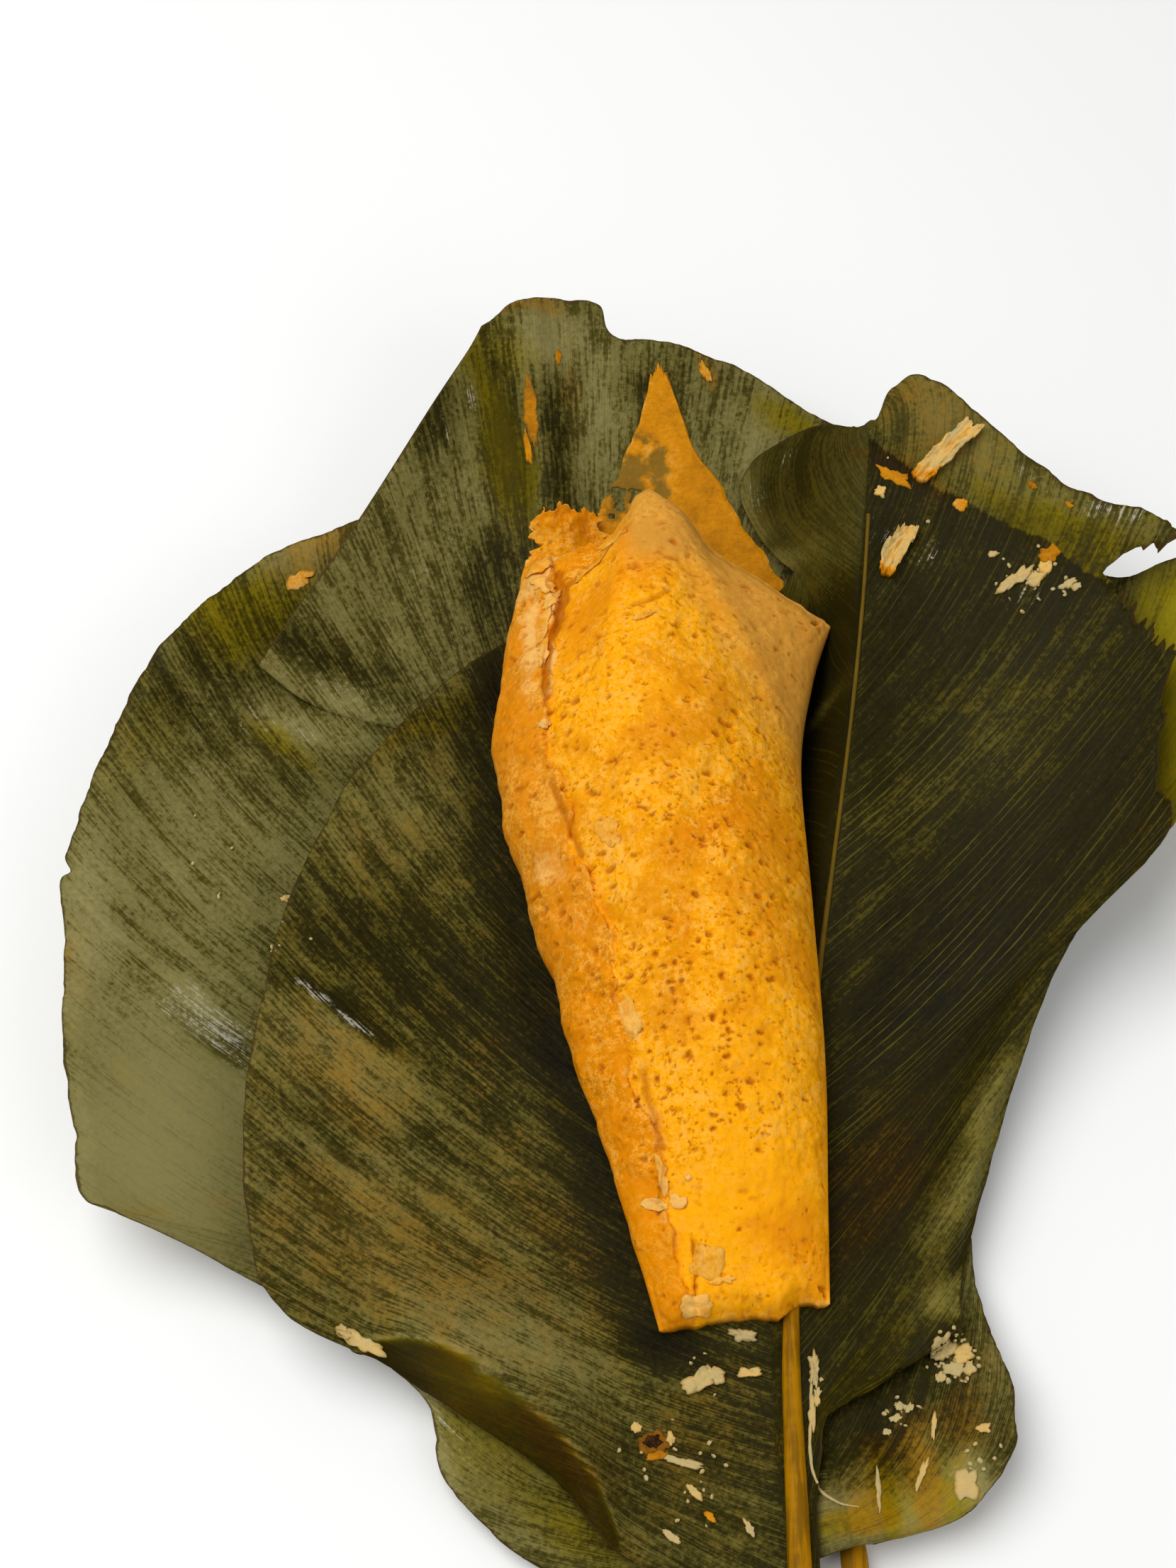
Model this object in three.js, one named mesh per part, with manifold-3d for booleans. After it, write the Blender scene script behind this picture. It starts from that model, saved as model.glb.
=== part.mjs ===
// Moi moi: a steamed bean pudding lying on the three broad leaves that it was steamed in.
//
// Millimetres, +Z up. With the pudding's thin end nearest, X is to the right and Y to the back.
// Plan positions are measured from a point under the pudding's middle. The finished group is moved
// so that its origin is the bottom centre of the whole spread.

import * as THREE from 'three';
import { mergeVertices } from 'three/addons/utils/BufferGeometryUtils.js';
import Module from 'manifold-3d';

const wasm = await Module();
wasm.setup();

const { clamp, lerp, smoothstep } = THREE.MathUtils;

// Plan position that becomes the origin
const PLAN_CENTRE = [-2.9, -18.4];

// Leaves and the clear space between pieces that touch
const LEAF_THICKNESS = 0.8;
const CONTACT_GAP = 0.5;
const LAYER = LEAF_THICKNESS + CONTACT_GAP;
const MARGIN_CLEARANCE = 0.02;
const SPREAD_HEIGHT = 60;
const OUTER_LAYER = 0;
const BACK_LAYER = 1;
const INNER_LAYER = 2;

// The shallow dish that the stacked leaves form: half spans in plan, the share of them that lies
// flat, and how steeply each side rises beyond that
const DISH = {
  x: 4,
  left: 106,
  right: 92,
  back: 116,
  front: 128,
  flat: 0.4,
  bend: 1.8,
  riseLeft: 46,
  riseRight: 72,
  riseBack: 77,
  riseFront: 7,
};

// Outer leaf, the lowest: margins from the stalk round to the hidden tip
const OUTER_LEAF = {
  slant: 1.8,
  columns: 18,
  rows: 30,
  midrib: curve([[27, -110], [20, -60], [10, 0], [4, 92]]),
  left: curve([
    [24, -111], [0, -116], [-20, -113], [-37, -100], [-43, -84], [-75, -66], [-94, -58],
    [-101, -25], [-103, 0], [-98, 26], [-86, 51], [-58, 73], [0, 95],
  ]),
  right: curve([
    [30, -110], [47, -104], [53, -90], [49, -64], [54, -34], [72, -6], [91, 12], [97, 30], [93, 52],
    [80, 55], [62, 70], [8, 95],
  ]),
  ripple: { height: 1.6, count: 9, fromX: 76, toX: 100 },
};

// Back leaf, standing up behind the pudding: four margins of one patch
const BACK_LEAF = {
  columns: 20,
  rows: 18,
  left: curve([[-74, 43], [-65, 58], [-46, 89], [-34, 106]]),
  right: curve([[42, 34], [46, 62], [38, 91]]),
  near: curve([[-74, 43], [-64, 38], [-45, 35], [-15, 27], [15, 25], [42, 34]]),
  far: curve([
    [-34, 106], [-27, 110], [-19, 112.5], [-12, 112.5], [-9, 108], [4, 107], [17, 102], [31, 93], [38, 91],
  ]),
  edge: { lift: 2.5, share: 0.14 },
  roll: { height: 4.5, width: 5.5, x: -19, lean: -0.175, y: 70, startY: 58, fullY: 82 },
};

// Inner leaf, the uppermost: its midrib runs up the right of the pudding as a crest
const INNER_LEAF = {
  slant: 1.6,
  columns: 20,
  rows: 36,
  midrib: { baseY: -122, tipY: 80, x: 18.5, shift: 18.5, startY: -90, endY: 85 },
  gather: 1.5,
  left: curve([
    [13, -122], [-9, -111], [-20, -99], [-42, -85], [-62, -76], [-69, -60], [-70, -35], [-66, -5],
    [-53, 27], [-30, 53], [0, 60], [24, 62], [19, 73], [15, 82], [19, 88], [27, 86], [35, 79],
  ]),
  right: curve([
    [21, -122], [22, -100], [30, -84], [45, -77], [47, -66], [58, -34], [68, -13], [83, 1], [83, 16],
    [88, 50], [71, 65], [49, 85], [41, 85], [38, 80],
  ]),
  tornAway: [[76, 49], [79, 51.5], [83, 52], [95, 50], [95, 30], [84.5, 33], [80, 42]],
  crest: { height: 22, reach: 50, startY: -45, endY: 60 },
  rim: { lift: 10, startY: -70, endY: 0 },
  wall: { width: 9, farWidth: 20, startY: 40, endY: 65 },
  leftRise: { height: 6, fromX: 15, toX: 70, fadeY: 20, endY: 60 },
  flap: { height: 9, start: 0.03, end: 0.27, foot: 0.2, bend: 0.8, drop: 0.84 },
  strip: { height: 4.5, start: 0.16, end: 0.58, foot: 0.45, crease: 0.86 },
  ripple: { height: 1.4, count: 8, start: 0.24, end: 0.64 },
};

// Stalks: round, thinning along the midrib
const STALK = { radius: 2.1, tipRadius: 0.5, endY: -150, sides: 10 };
const INNER_STALK = { steps: 34, thinFrom: 0.25, thinTo: 0.75, tipGap: 3, restOverlap: 10 };
const OUTER_STALK = { steps: 10, endX: 30, rootX: 26.5, rootY: -98, thinFrom: 0.8, buryFrom: 0.6 };

// Pudding: four edges of one patch, each point with the height of the widest outline there
const PUDDING = {
  columns: 22,
  rows: 40,
  left: curve([
    [-2.5, -76, 6], [-5.5, -66, 8], [-12, -45, 11], [-20, -20, 13], [-28, 8, 14], [-30.5, 26, 15],
    [-29, 45, 17], [-25, 62, 21],
  ]),
  right: curve([
    [25.2, -73.5, 6], [25.5, -56, 8], [26, -32, 10], [25, -6, 12], [24, 22, 13], [26.5, 38, 16],
    [30, 48.5, 19],
  ]),
  front: curve([[-2.5, -76, 6], [12, -76, 6], [25.2, -73.5, 6]]),
  back: curve([
    [-25, 62, 21], [-15, 64, 23], [-9, 65.5, 27], [-3.5, 69.5, 30], [3, 65.5, 28], [9, 59, 25],
    [20, 53, 22], [30, 48.5, 19],
  ]),
  sink: 3,
  crown: { front: 5, middle: 17, back: 9, fullAt: 0.55, fallFrom: 0.72 },
  rounding: { front: 0.035, back: 0.07, over: [2.2, 0.55], under: [3, 0.5] },
  rowGather: 0.6,
  seam: { step: 1.3, halfWidth: 1, x: -21, lean: 0.25, bendY: 22, waver: 0.8, waverLength: 5 },
  ridge: { height: 2, width: 8, x: 8.6, lean: -0.17, startY: -30, fullY: 10 },
  groove: { depth: 1.3, width: 5, x: 5.2, lean: 0.165, startY: -60, fullY: -35, fadeY: 0, endY: 20 },
  notch: { depth: 3.5, x: -14, y: 61, width: 6, length: 4 },
};

// Pudding that stuck to the leaves: the two long sides of each patch, in plan
const STUCK_SKIN = {
  thickness: 0.6,
  columns: 6,
  rows: 14,
  left: curve([[-18, 70], [-13, 78], [-8, 86], [-4, 94], [-1.5, 103]]),
  right: curve([[21, 66], [17, 74], [12.5, 82], [6, 91], [0, 103]]),
};
const TORN_FLAP = {
  thickness: 1.6,
  columns: 8,
  rows: 5,
  left: curve([[-25, 71], [-24, 74], [-22, 78]]),
  right: curve([[-10, 72], [-10.5, 75], [-13, 78]]),
};
const RESIDUE_STRIP = {
  thickness: 1.4,
  columns: 4,
  rows: 10,
  left: curve([[43, 69], [46, 74], [55, 79]]),
  right: curve([[47, 68], [51, 73], [59, 78]]),
};
const RESIDUE_SCRAP = {
  thickness: 1.4,
  columns: 4,
  rows: 8,
  left: curve([[37.5, 53], [39, 58], [43, 62]]),
  right: curve([[40, 52], [43, 57], [45.5, 61]]),
};

// Piece colours
const COLOURS = {
  pudding: 0xe69a2e,
  skin: 0xd9861c,
  residue: 0xd9c38a,
  outerLeaf: 0x6f7350,
  backLeaf: 0x4c5237,
  innerLeaf: 0x33371f,
};

function curve(points) {
  const vectors = points.map(([x, y, z = 0]) => new THREE.Vector3(x, y, z));
  return new THREE.CatmullRomCurve3(vectors, false, 'catmullrom', 0.5);
}

function dishHeight(x, y) {
  const across = (x - DISH.x) / (x < DISH.x ? DISH.left : DISH.right);
  const along = y / (y > 0 ? DISH.back : DISH.front);
  const reach = Math.hypot(across, along);
  if (reach <= DISH.flat) return 0;
  const sideRise = x < DISH.x ? DISH.riseLeft : DISH.riseRight;
  const endRise = y > 0 ? DISH.riseBack : DISH.riseFront;
  const rise = (sideRise * across ** 2 + endRise * along ** 2) / reach ** 2;
  return rise * (reach - DISH.flat) ** DISH.bend;
}

function leafTop(layer, x, y) {
  return dishHeight(x, y) + LEAF_THICKNESS + layer * LAYER;
}

// Bell that is 1 at the middle and fades to nothing about twice the width away
function bell(distance, width) {
  return Math.exp(-((distance / width) ** 2));
}

// Window that rises and falls between two places along a margin
function between(u, start, end) {
  const middle = (start + end) / 2;
  return smoothstep(u, start, middle) * (1 - smoothstep(u, middle, end));
}

// Wave between 0 and 1 along a margin
function wave(count, u) {
  return (1 + Math.sin(2 * Math.PI * count * u)) / 2;
}

// Plan point of a leaf with a midrib: u runs from stalk to tip, v from left margin to right margin
function ribbedPlan(leaf, root, u, v) {
  const edge = (v < 0 ? leaf.left : leaf.right).getPointAt(u);
  return root.lerp(edge, Math.abs(v));
}

// Point of a patch held by four edge curves: u runs from near to far, v from left to right
function patchPoint(patch, near, far, u, v) {
  const sides = patch.left.getPointAt(u).lerp(patch.right.getPointAt(u), v);
  const ends = near.getPointAt(v).lerp(far.getPointAt(v), u);
  const nearLine = near.getPointAt(0).lerp(near.getPointAt(1), v);
  const farLine = far.getPointAt(0).lerp(far.getPointAt(1), v);
  return sides.add(ends).sub(nearLine.lerp(farLine, u));
}

function outerSurface(u, v) {
  const leaf = OUTER_LEAF;
  const point = ribbedPlan(leaf, leaf.midrib.getPointAt(u ** leaf.slant), u, v);
  const { height, count, fromX, toX } = leaf.ripple;
  const ripple = height * wave(count, u) * smoothstep(-point.x, fromX, toX);
  point.z = leafTop(OUTER_LAYER, point.x, point.y) + ripple;
  return point;
}

function backSurface(u, v) {
  const leaf = BACK_LEAF;
  const point = patchPoint(leaf, leaf.near, leaf.far, u, v);
  const edge = leaf.edge.lift * (1 - smoothstep(v, 0, leaf.edge.share));
  point.z = onBackLeaf(point.x, point.y) + edge;
  return point;
}

// Top of the back leaf inside its margins, with the soft roll that runs up it
function onBackLeaf(x, y) {
  const { roll } = BACK_LEAF;
  const offset = x - roll.x - roll.lean * (y - roll.y);
  const lift = roll.height * bell(offset, roll.width) * smoothstep(y, roll.startY, roll.fullY);
  return leafTop(BACK_LAYER, x, y) + lift;
}

function midribX(y) {
  const { x, shift, startY, endY } = INNER_LEAF.midrib;
  return x + shift * smoothstep(y, startY, endY);
}

// How far the inner leaf stands above the stack: a crest along the midrib that falls as a wall to
// the pudding and as a long slope to the right margin
function crestLift(x, y) {
  const { crest, rim, wall } = INNER_LEAF;
  const offset = x - midribX(y);
  const crestHeight = crest.height * smoothstep(y, crest.startY, crest.endY);
  const rimHeight = rim.lift * smoothstep(y, rim.startY, rim.endY);
  if (offset >= 0) return lerp(crestHeight, rimHeight, Math.min(offset / crest.reach, 1));
  const wallWidth = lerp(wall.width, wall.farWidth, smoothstep(y, wall.startY, wall.endY));
  return crestHeight * (1 - smoothstep(-offset, 0, wallWidth));
}

// Top of the inner leaf along its midrib and over its right half
function onInnerLeaf(x, y) {
  return leafTop(INNER_LAYER, x, y) + crestLift(x, y);
}

// Rise of the left half towards its margin, with the loose margin near the stalk bent down
function leftLift(x, y, u, share) {
  const { leftRise, flap, ripple } = INNER_LEAF;
  const flapHere = between(u, flap.start, flap.end);
  const fade = 1 - smoothstep(y, leftRise.fadeY, leftRise.endY);
  let lift = crestLift(x, y);
  lift += leftRise.height * smoothstep(-x, leftRise.fromX, leftRise.toX) * fade;
  lift += flap.height * flapHere * smoothstep(share, flap.foot, flap.bend);
  lift *= 1 - flapHere * smoothstep(share, flap.drop, 1);
  return lift + ripple.height * wave(ripple.count, u) * share ** 2 * between(u, ripple.start, ripple.end);
}

// Rise of the right half, with a crease beside the margin and a strip that falls away beyond it
function rightLift(x, y, u, share) {
  const { strip } = INNER_LEAF;
  const fold = smoothstep(share, strip.foot, strip.crease) * (1 - smoothstep(share, strip.crease, 1));
  return crestLift(x, y) + strip.height * fold * between(u, strip.start, strip.end);
}

function innerSurface(u, v) {
  const { midrib, slant, gather } = INNER_LEAF;
  const rootY = lerp(midrib.baseY, midrib.tipY, u ** slant);
  const root = new THREE.Vector3(midribX(rootY), rootY, 0);
  const share = v < 0 ? Math.abs(v) ** gather : v;
  const point = ribbedPlan(INNER_LEAF, root, u, v < 0 ? -share : share);
  const rise = v < 0 ? leftLift : rightLift;
  point.z = leafTop(INNER_LAYER, point.x, point.y) + rise(point.x, point.y, u, share);
  return point;
}

function geometryFrom(points, triangles) {
  const geometry = new THREE.BufferGeometry();
  geometry.setFromPoints(points);
  geometry.setIndex(triangles);
  return geometry;
}

// Closed sheet over a grid of surface points, grown upward and downward along the surface normal
function sheet(surface, columns, rows, above, below, vStart = -1) {
  const width = columns + 1;
  const grid = [];
  for (let row = 0; row <= rows; row += 1) {
    for (let column = 0; column <= columns; column += 1) {
      grid.push(surface(row / rows, lerp(vStart, 1, column / columns)));
    }
  }
  const at = (row, column) => grid[clamp(row, 0, rows) * width + clamp(column, 0, columns)];
  const upper = [];
  const lower = [];
  for (let row = 0; row <= rows; row += 1) {
    for (let column = 0; column <= columns; column += 1) {
      const across = at(row, column + 1).clone().sub(at(row, column - 1));
      const along = at(row + 1, column).clone().sub(at(row - 1, column));
      const normal = across.cross(along).normalize();
      upper.push(at(row, column).clone().addScaledVector(normal, above));
      lower.push(at(row, column).clone().addScaledVector(normal, -below));
    }
  }
  return closeGrids(upper, lower, columns, rows);
}

// Solid between an upper and a lower grid; shared margins are welded where both grids meet
function closeGrids(upper, lower, columns, rows) {
  const width = columns + 1;
  const shift = upper.length;
  const triangles = [];
  for (let row = 0; row < rows; row += 1) {
    for (let column = 0; column < columns; column += 1) {
      const a = row * width + column;
      const b = a + 1;
      const c = a + width;
      const d = c + 1;
      triangles.push(a, b, d, a, d, c);
      triangles.push(a + shift, d + shift, b + shift, a + shift, c + shift, d + shift);
    }
  }
  const wall = (a, b) => triangles.push(a, a + shift, b, b, a + shift, b + shift);
  for (let column = 0; column < columns; column += 1) {
    wall(column, column + 1);
    wall(rows * width + column + 1, rows * width + column);
  }
  for (let row = 0; row < rows; row += 1) {
    wall((row + 1) * width, row * width);
    wall(row * width + columns, (row + 1) * width + columns);
  }
  return geometryFrom([...upper, ...lower], triangles);
}

// Round bar along a centre line, closed at both ends
function bar(centreAt, radiusAt, steps, sides) {
  const points = [];
  const triangles = [];
  for (let step = 0; step <= steps; step += 1) {
    const t = step / steps;
    const before = centreAt(Math.max(t - 1 / steps, 0));
    const along = centreAt(Math.min(t + 1 / steps, 1)).sub(before).normalize();
    const across = along.clone().cross(new THREE.Vector3(0, 0, 1)).normalize();
    const up = across.clone().cross(along);
    for (let side = 0; side < sides; side += 1) {
      const angle = (2 * Math.PI * side) / sides;
      const point = centreAt(t);
      point.addScaledVector(across, radiusAt(t) * Math.cos(angle));
      point.addScaledVector(up, radiusAt(t) * Math.sin(angle));
      points.push(point);
    }
  }
  for (let step = 0; step < steps; step += 1) {
    for (let side = 0; side < sides; side += 1) {
      const a = step * sides + side;
      const b = step * sides + ((side + 1) % sides);
      triangles.push(a, a + sides, b, b, a + sides, b + sides);
    }
  }
  const last = steps * sides;
  for (let side = 1; side < sides - 1; side += 1) {
    triangles.push(0, side, side + 1);
    triangles.push(last, last + side + 1, last + side);
  }
  return geometryFrom(points, triangles);
}

// Boolean solids
function toSolid(geometry) {
  const vertProperties = new Float32Array(geometry.attributes.position.array);
  const triVerts = new Uint32Array(geometry.index.array);
  const mesh = new wasm.Mesh({ numProp: 3, vertProperties, triVerts });
  mesh.merge();
  return new wasm.Manifold(mesh);
}

function largestPiece(solid) {
  const pieces = solid.decompose();
  return pieces.reduce((best, piece) => (piece.volume() > best.volume() ? piece : best));
}

function toGeometry(solid) {
  const mesh = solid.getMesh();
  const geometry = new THREE.BufferGeometry();
  geometry.setAttribute('position', new THREE.BufferAttribute(mesh.vertProperties, mesh.numProp));
  geometry.setIndex(new THREE.BufferAttribute(mesh.triVerts, 1));
  return geometry;
}

// Stalk of the inner leaf: it lies on the leaf and thins into the midrib up to the tip
function innerStalk(grow) {
  const { radius, tipRadius, endY, sides } = STALK;
  const { steps, thinFrom, thinTo, tipGap, restOverlap } = INNER_STALK;
  const { baseY, tipY } = INNER_LEAF.midrib;
  const radiusAt = (t) => lerp(radius, tipRadius, smoothstep(t, thinFrom, thinTo)) + grow;
  const centreAt = (t) => {
    const y = lerp(endY, tipY - tipGap, t);
    const x = midribX(y);
    const onLeaf = smoothstep(y, endY, baseY + restOverlap);
    return new THREE.Vector3(x, y, Math.max(lerp(radius, onInnerLeaf(x, y), onLeaf), radius));
  };
  return toSolid(bar(centreAt, radiusAt, steps, sides));
}

// Stalk of the outer leaf: it comes out from under the leaf's base and lies on the table
function outerStalk() {
  const { radius, tipRadius, endY, sides } = STALK;
  const { steps, endX, rootX, rootY, thinFrom, buryFrom } = OUTER_STALK;
  const radiusAt = (t) => lerp(radius, tipRadius, smoothstep(t, thinFrom, 1));
  const centreAt = (t) => {
    const y = lerp(endY, rootY, t);
    const x = lerp(endX, rootX, t);
    const buried = leafTop(OUTER_LAYER, x, y) - LEAF_THICKNESS / 2;
    return new THREE.Vector3(x, y, lerp(radius, buried, smoothstep(t, buryFrom, 1)));
  };
  return toSolid(bar(centreAt, radiusAt, steps, sides));
}

function leafSolid(surface, leaf, grow, vStart) {
  return toSolid(sheet(surface, leaf.columns, leaf.rows, grow, LEAF_THICKNESS + grow, vStart));
}

// Corner of the inner leaf that is torn away, as an upright block to cut with
function tornCorner() {
  const shape = new THREE.Shape(INNER_LEAF.tornAway.map(([x, y]) => new THREE.Vector2(x, y)));
  const block = new THREE.ExtrudeGeometry(shape, { depth: SPREAD_HEIGHT, bevelEnabled: false });
  block.deleteAttribute('normal');
  block.deleteAttribute('uv');
  return toSolid(mergeVertices(block));
}

// Pudding: relief of the upper face, as a height over plan. The left side is a thin layer that
// ends in a seam, a ridge runs down from the peak, and a groove and a torn notch are sunk in.
function puddingRelief(x, y) {
  const { seam, ridge, groove, notch } = PUDDING;
  const waver = seam.waver * Math.sin(y / seam.waverLength);
  const seamX = seam.x + seam.lean * Math.max(0, seam.bendY - y) + waver;
  const layer = seam.step * (1 - smoothstep(x, seamX - seam.halfWidth, seamX + seam.halfWidth));
  const ridgeOffset = x - ridge.x - ridge.lean * y;
  const ridgeRise = ridge.height * bell(ridgeOffset, ridge.width) * smoothstep(y, ridge.startY, ridge.fullY);
  const grooveStart = smoothstep(y, groove.startY, groove.fullY);
  const grooveEnd = 1 - smoothstep(y, groove.fadeY, groove.endY);
  const grooveOffset = x - groove.x - groove.lean * y;
  const grooveFall = groove.depth * bell(grooveOffset, groove.width) * grooveStart * grooveEnd;
  const notchFall = notch.depth * bell(x - notch.x, notch.width) * bell(y - notch.y, notch.length);
  return layer + ridgeRise - grooveFall - notchFall;
}

// How far the ends have rounded in: 0 at the very end, 1 once past the rounding
function puddingEnds(u) {
  const { rounding } = PUDDING;
  const front = Math.min(u / rounding.front, 1);
  const back = Math.min((1 - u) / rounding.back, 1);
  return Math.sqrt((1 - (1 - front) ** 2) * (1 - (1 - back) ** 2));
}

function puddingCrown(u) {
  const { crown } = PUDDING;
  const rising = lerp(crown.front, crown.middle, smoothstep(u, 0, crown.fullAt));
  return lerp(rising, crown.back, smoothstep(u, crown.fallFrom, 1));
}

function puddingGeometry() {
  const { columns, rows, rounding, rowGather, sink } = PUDDING;
  const upper = [];
  const lower = [];
  for (let row = 0; row <= rows; row += 1) {
    const even = row / rows;
    const u = lerp(even, (1 - Math.cos(Math.PI * even)) / 2, rowGather);
    const ends = puddingEnds(u);
    for (let column = 0; column <= columns; column += 1) {
      const v = (1 - Math.cos((Math.PI * column) / columns)) / 2;
      const { x, y, z } = patchPoint(PUDDING, PUDDING.front, PUDDING.back, u, v);
      const side = Math.abs(2 * v - 1);
      const over = ends * (1 - side ** rounding.over[0]) ** rounding.over[1];
      const under = ends * (1 - side ** rounding.under[0]) ** rounding.under[1];
      upper.push(new THREE.Vector3(x, y, z + (puddingCrown(u) + puddingRelief(x, y)) * over));
      lower.push(new THREE.Vector3(x, y, z - (z + sink) * under));
    }
  }
  return closeGrids(upper, lower, columns, rows);
}

// Thin patch lying clear on a leaf, between its two long sides
function patchOnLeaf(patch, heightAt) {
  const surface = (u, v) => {
    const point = patch.left.getPointAt(u).lerp(patch.right.getPointAt(u), v);
    point.z = heightAt(point.x, point.y) + CONTACT_GAP;
    return point;
  };
  return sheet(surface, patch.columns, patch.rows, patch.thickness, 0, 0);
}

// The torn flap lies over the edge of the stuck skin, so it is held up by its own thickness
function overSkin(x, y) {
  return onBackLeaf(x, y) + TORN_FLAP.thickness;
}

function addPiece(group, name, geometry, color, roughness) {
  const material = new THREE.MeshStandardMaterial({ color, roughness, metalness: 0 });
  const mesh = new THREE.Mesh(geometry, material);
  mesh.name = name;
  group.add(mesh);
}

const outerLeaf = leafSolid(outerSurface, OUTER_LEAF, 0).add(outerStalk());
const backLeaf = leafSolid(backSurface, BACK_LEAF, 0, 0);
const innerBlade = leafSolid(innerSurface, INNER_LEAF, 0).subtract(tornCorner());
const innerLeaf = innerBlade.add(innerStalk(0));

const pressed = leafSolid(innerSurface, INNER_LEAF, CONTACT_GAP, -1 - MARGIN_CLEARANCE)
  .add(innerStalk(CONTACT_GAP))
  .add(leafSolid(backSurface, BACK_LEAF, CONTACT_GAP, 0));
const pudding = largestPiece(toSolid(puddingGeometry()).subtract(pressed));

const moiMoi = new THREE.Group();
moiMoi.position.set(-PLAN_CENTRE[0], -PLAN_CENTRE[1], 0);
addPiece(moiMoi, 'pudding', toGeometry(pudding), COLOURS.pudding, 0.6);
addPiece(moiMoi, 'inner_leaf', toGeometry(innerLeaf), COLOURS.innerLeaf, 0.5);
addPiece(moiMoi, 'back_leaf', toGeometry(backLeaf), COLOURS.backLeaf, 0.55);
addPiece(moiMoi, 'outer_leaf', toGeometry(outerLeaf), COLOURS.outerLeaf, 0.6);
addPiece(moiMoi, 'stuck_skin', patchOnLeaf(STUCK_SKIN, onBackLeaf), COLOURS.skin, 0.6);
addPiece(moiMoi, 'torn_flap', patchOnLeaf(TORN_FLAP, overSkin), COLOURS.skin, 0.65);
addPiece(moiMoi, 'residue_strip', patchOnLeaf(RESIDUE_STRIP, onInnerLeaf), COLOURS.residue, 0.7);
addPiece(moiMoi, 'residue_scrap', patchOnLeaf(RESIDUE_SCRAP, onInnerLeaf), COLOURS.residue, 0.7);

export default moiMoi;
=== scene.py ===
"""Moi moi: the looks of a steamed bean pudding lying on the leaves that it was steamed in.

Shapes are worked out in millimetres, in plan positions measured from a point under the pudding's
middle, and placed in metres in the part's frame.
"""

import math

import bpy
import numpy as np
from bpy.props import FloatProperty, FloatVectorProperty, IntProperty, PointerProperty
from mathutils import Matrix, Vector
from mathutils.bvhtree import BVHTree


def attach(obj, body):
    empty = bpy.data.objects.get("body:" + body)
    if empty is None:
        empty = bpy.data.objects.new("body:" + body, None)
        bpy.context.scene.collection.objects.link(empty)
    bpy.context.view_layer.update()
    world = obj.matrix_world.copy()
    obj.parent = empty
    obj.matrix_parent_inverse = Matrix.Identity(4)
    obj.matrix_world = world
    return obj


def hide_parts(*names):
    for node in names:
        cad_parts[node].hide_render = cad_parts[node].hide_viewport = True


bl_info = {
    "name": "Moi Moi",
    "version": (1, 0, 0),
    "blender": (4, 5, 0),
    "location": "3D View > Sidebar > Moi Moi",
    "description": "Steamed bean pudding lying on the opened leaves that it was steamed in",
    "category": "Add Mesh",
}

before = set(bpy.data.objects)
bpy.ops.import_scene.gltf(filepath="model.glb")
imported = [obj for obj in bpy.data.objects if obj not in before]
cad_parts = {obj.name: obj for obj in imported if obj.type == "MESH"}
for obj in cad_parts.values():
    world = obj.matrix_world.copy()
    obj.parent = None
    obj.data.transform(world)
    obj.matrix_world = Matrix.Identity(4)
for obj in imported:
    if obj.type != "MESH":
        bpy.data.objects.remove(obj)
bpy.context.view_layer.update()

# Units, the plan position that is the part's origin, and numbers near enough to nothing
MM = 0.001
PLAN_CENTRE = np.array([-2.9, -18.4, 0.0])
TINY = 1e-9
NEAR_NOTHING = 1e-6

# Steps between two points of a curve, and how the ground is felt for: from so many metres up
CURVE_STEPS = 60
DOWN = Vector((0, 0, -1))
ABOVE = 0.2

# Leaves and how they lie on each other
LEAF_THICKNESS = 0.8
LAYER = 1.3
OUTER_LAYER = 0
BACK_LAYER = 1
INNER_LAYER = 2
MARGIN_TAPER = 4.0

# Numbers that give a leaf's left and right half their own noise, and the lobe mask where there is no lobe
HALF_NUMBERS = (0.0, 40.0)
NO_LOBE = -9.0

# How far the edges of marks waver, how wide those waves are, and how deep small pieces sink in
MARK_WAVER = 3.0
MARK_WAVER_SIZE = 12
SUNK = 0.1

# Finished pieces by name, for the ones that lie on them
PIECES = {}


def smoothstep(value, start, end):
    share = np.clip((value - start) / (end - start), 0, 1)
    return share * share * (3 - 2 * share)


def faded(value, start, end):
    """Smooth fall from 1 to nothing."""
    return 1 - smoothstep(value, start, end)


def window(value, start, full, fade, end):
    """Smooth rise to 1 and fall back to nothing."""
    return smoothstep(value, start, full) * faded(value, fade, end)


def lerp(start, end, share):
    return start + (end - start) * share


def bell(distance, width):
    """Bell that is 1 at the middle and fades to nothing about twice the width away."""
    return np.exp(-((distance / width) ** 2))


def between(u, start, end):
    """Window that rises and falls between two places along a margin."""
    middle = (start + end) / 2
    return window(u, start, middle, middle, end)


def wave(count, u):
    return (1 + np.sin(2 * np.pi * count * u)) / 2


def turned(x, y, degrees):
    cosine, sine = math.cos(math.radians(degrees)), math.sin(math.radians(degrees))
    return x * cosine - y * sine, x * sine + y * cosine


def stacked(*parts):
    """Grids of single numbers joined into one grid of points."""
    return np.stack(parts, axis=-1)


def cell_corners(grid):
    """The four corners of each cell of a grid, in turn."""
    return grid[:-1, :-1], grid[:-1, 1:], grid[1:, 1:], grid[1:, :-1]


def value_at(column, row, seed):
    """Fixed random number from 0 to 1 for each whole-numbered place."""
    mixed = (column * 374761393 + row * 668265263 + seed * 974634777) & 0xFFFFFFFF
    mixed = ((mixed ^ (mixed >> 13)) * 1274126177) & 0xFFFFFFFF
    return ((mixed ^ (mixed >> 16)) & 0xFFFF) / 0xFFFF


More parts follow.
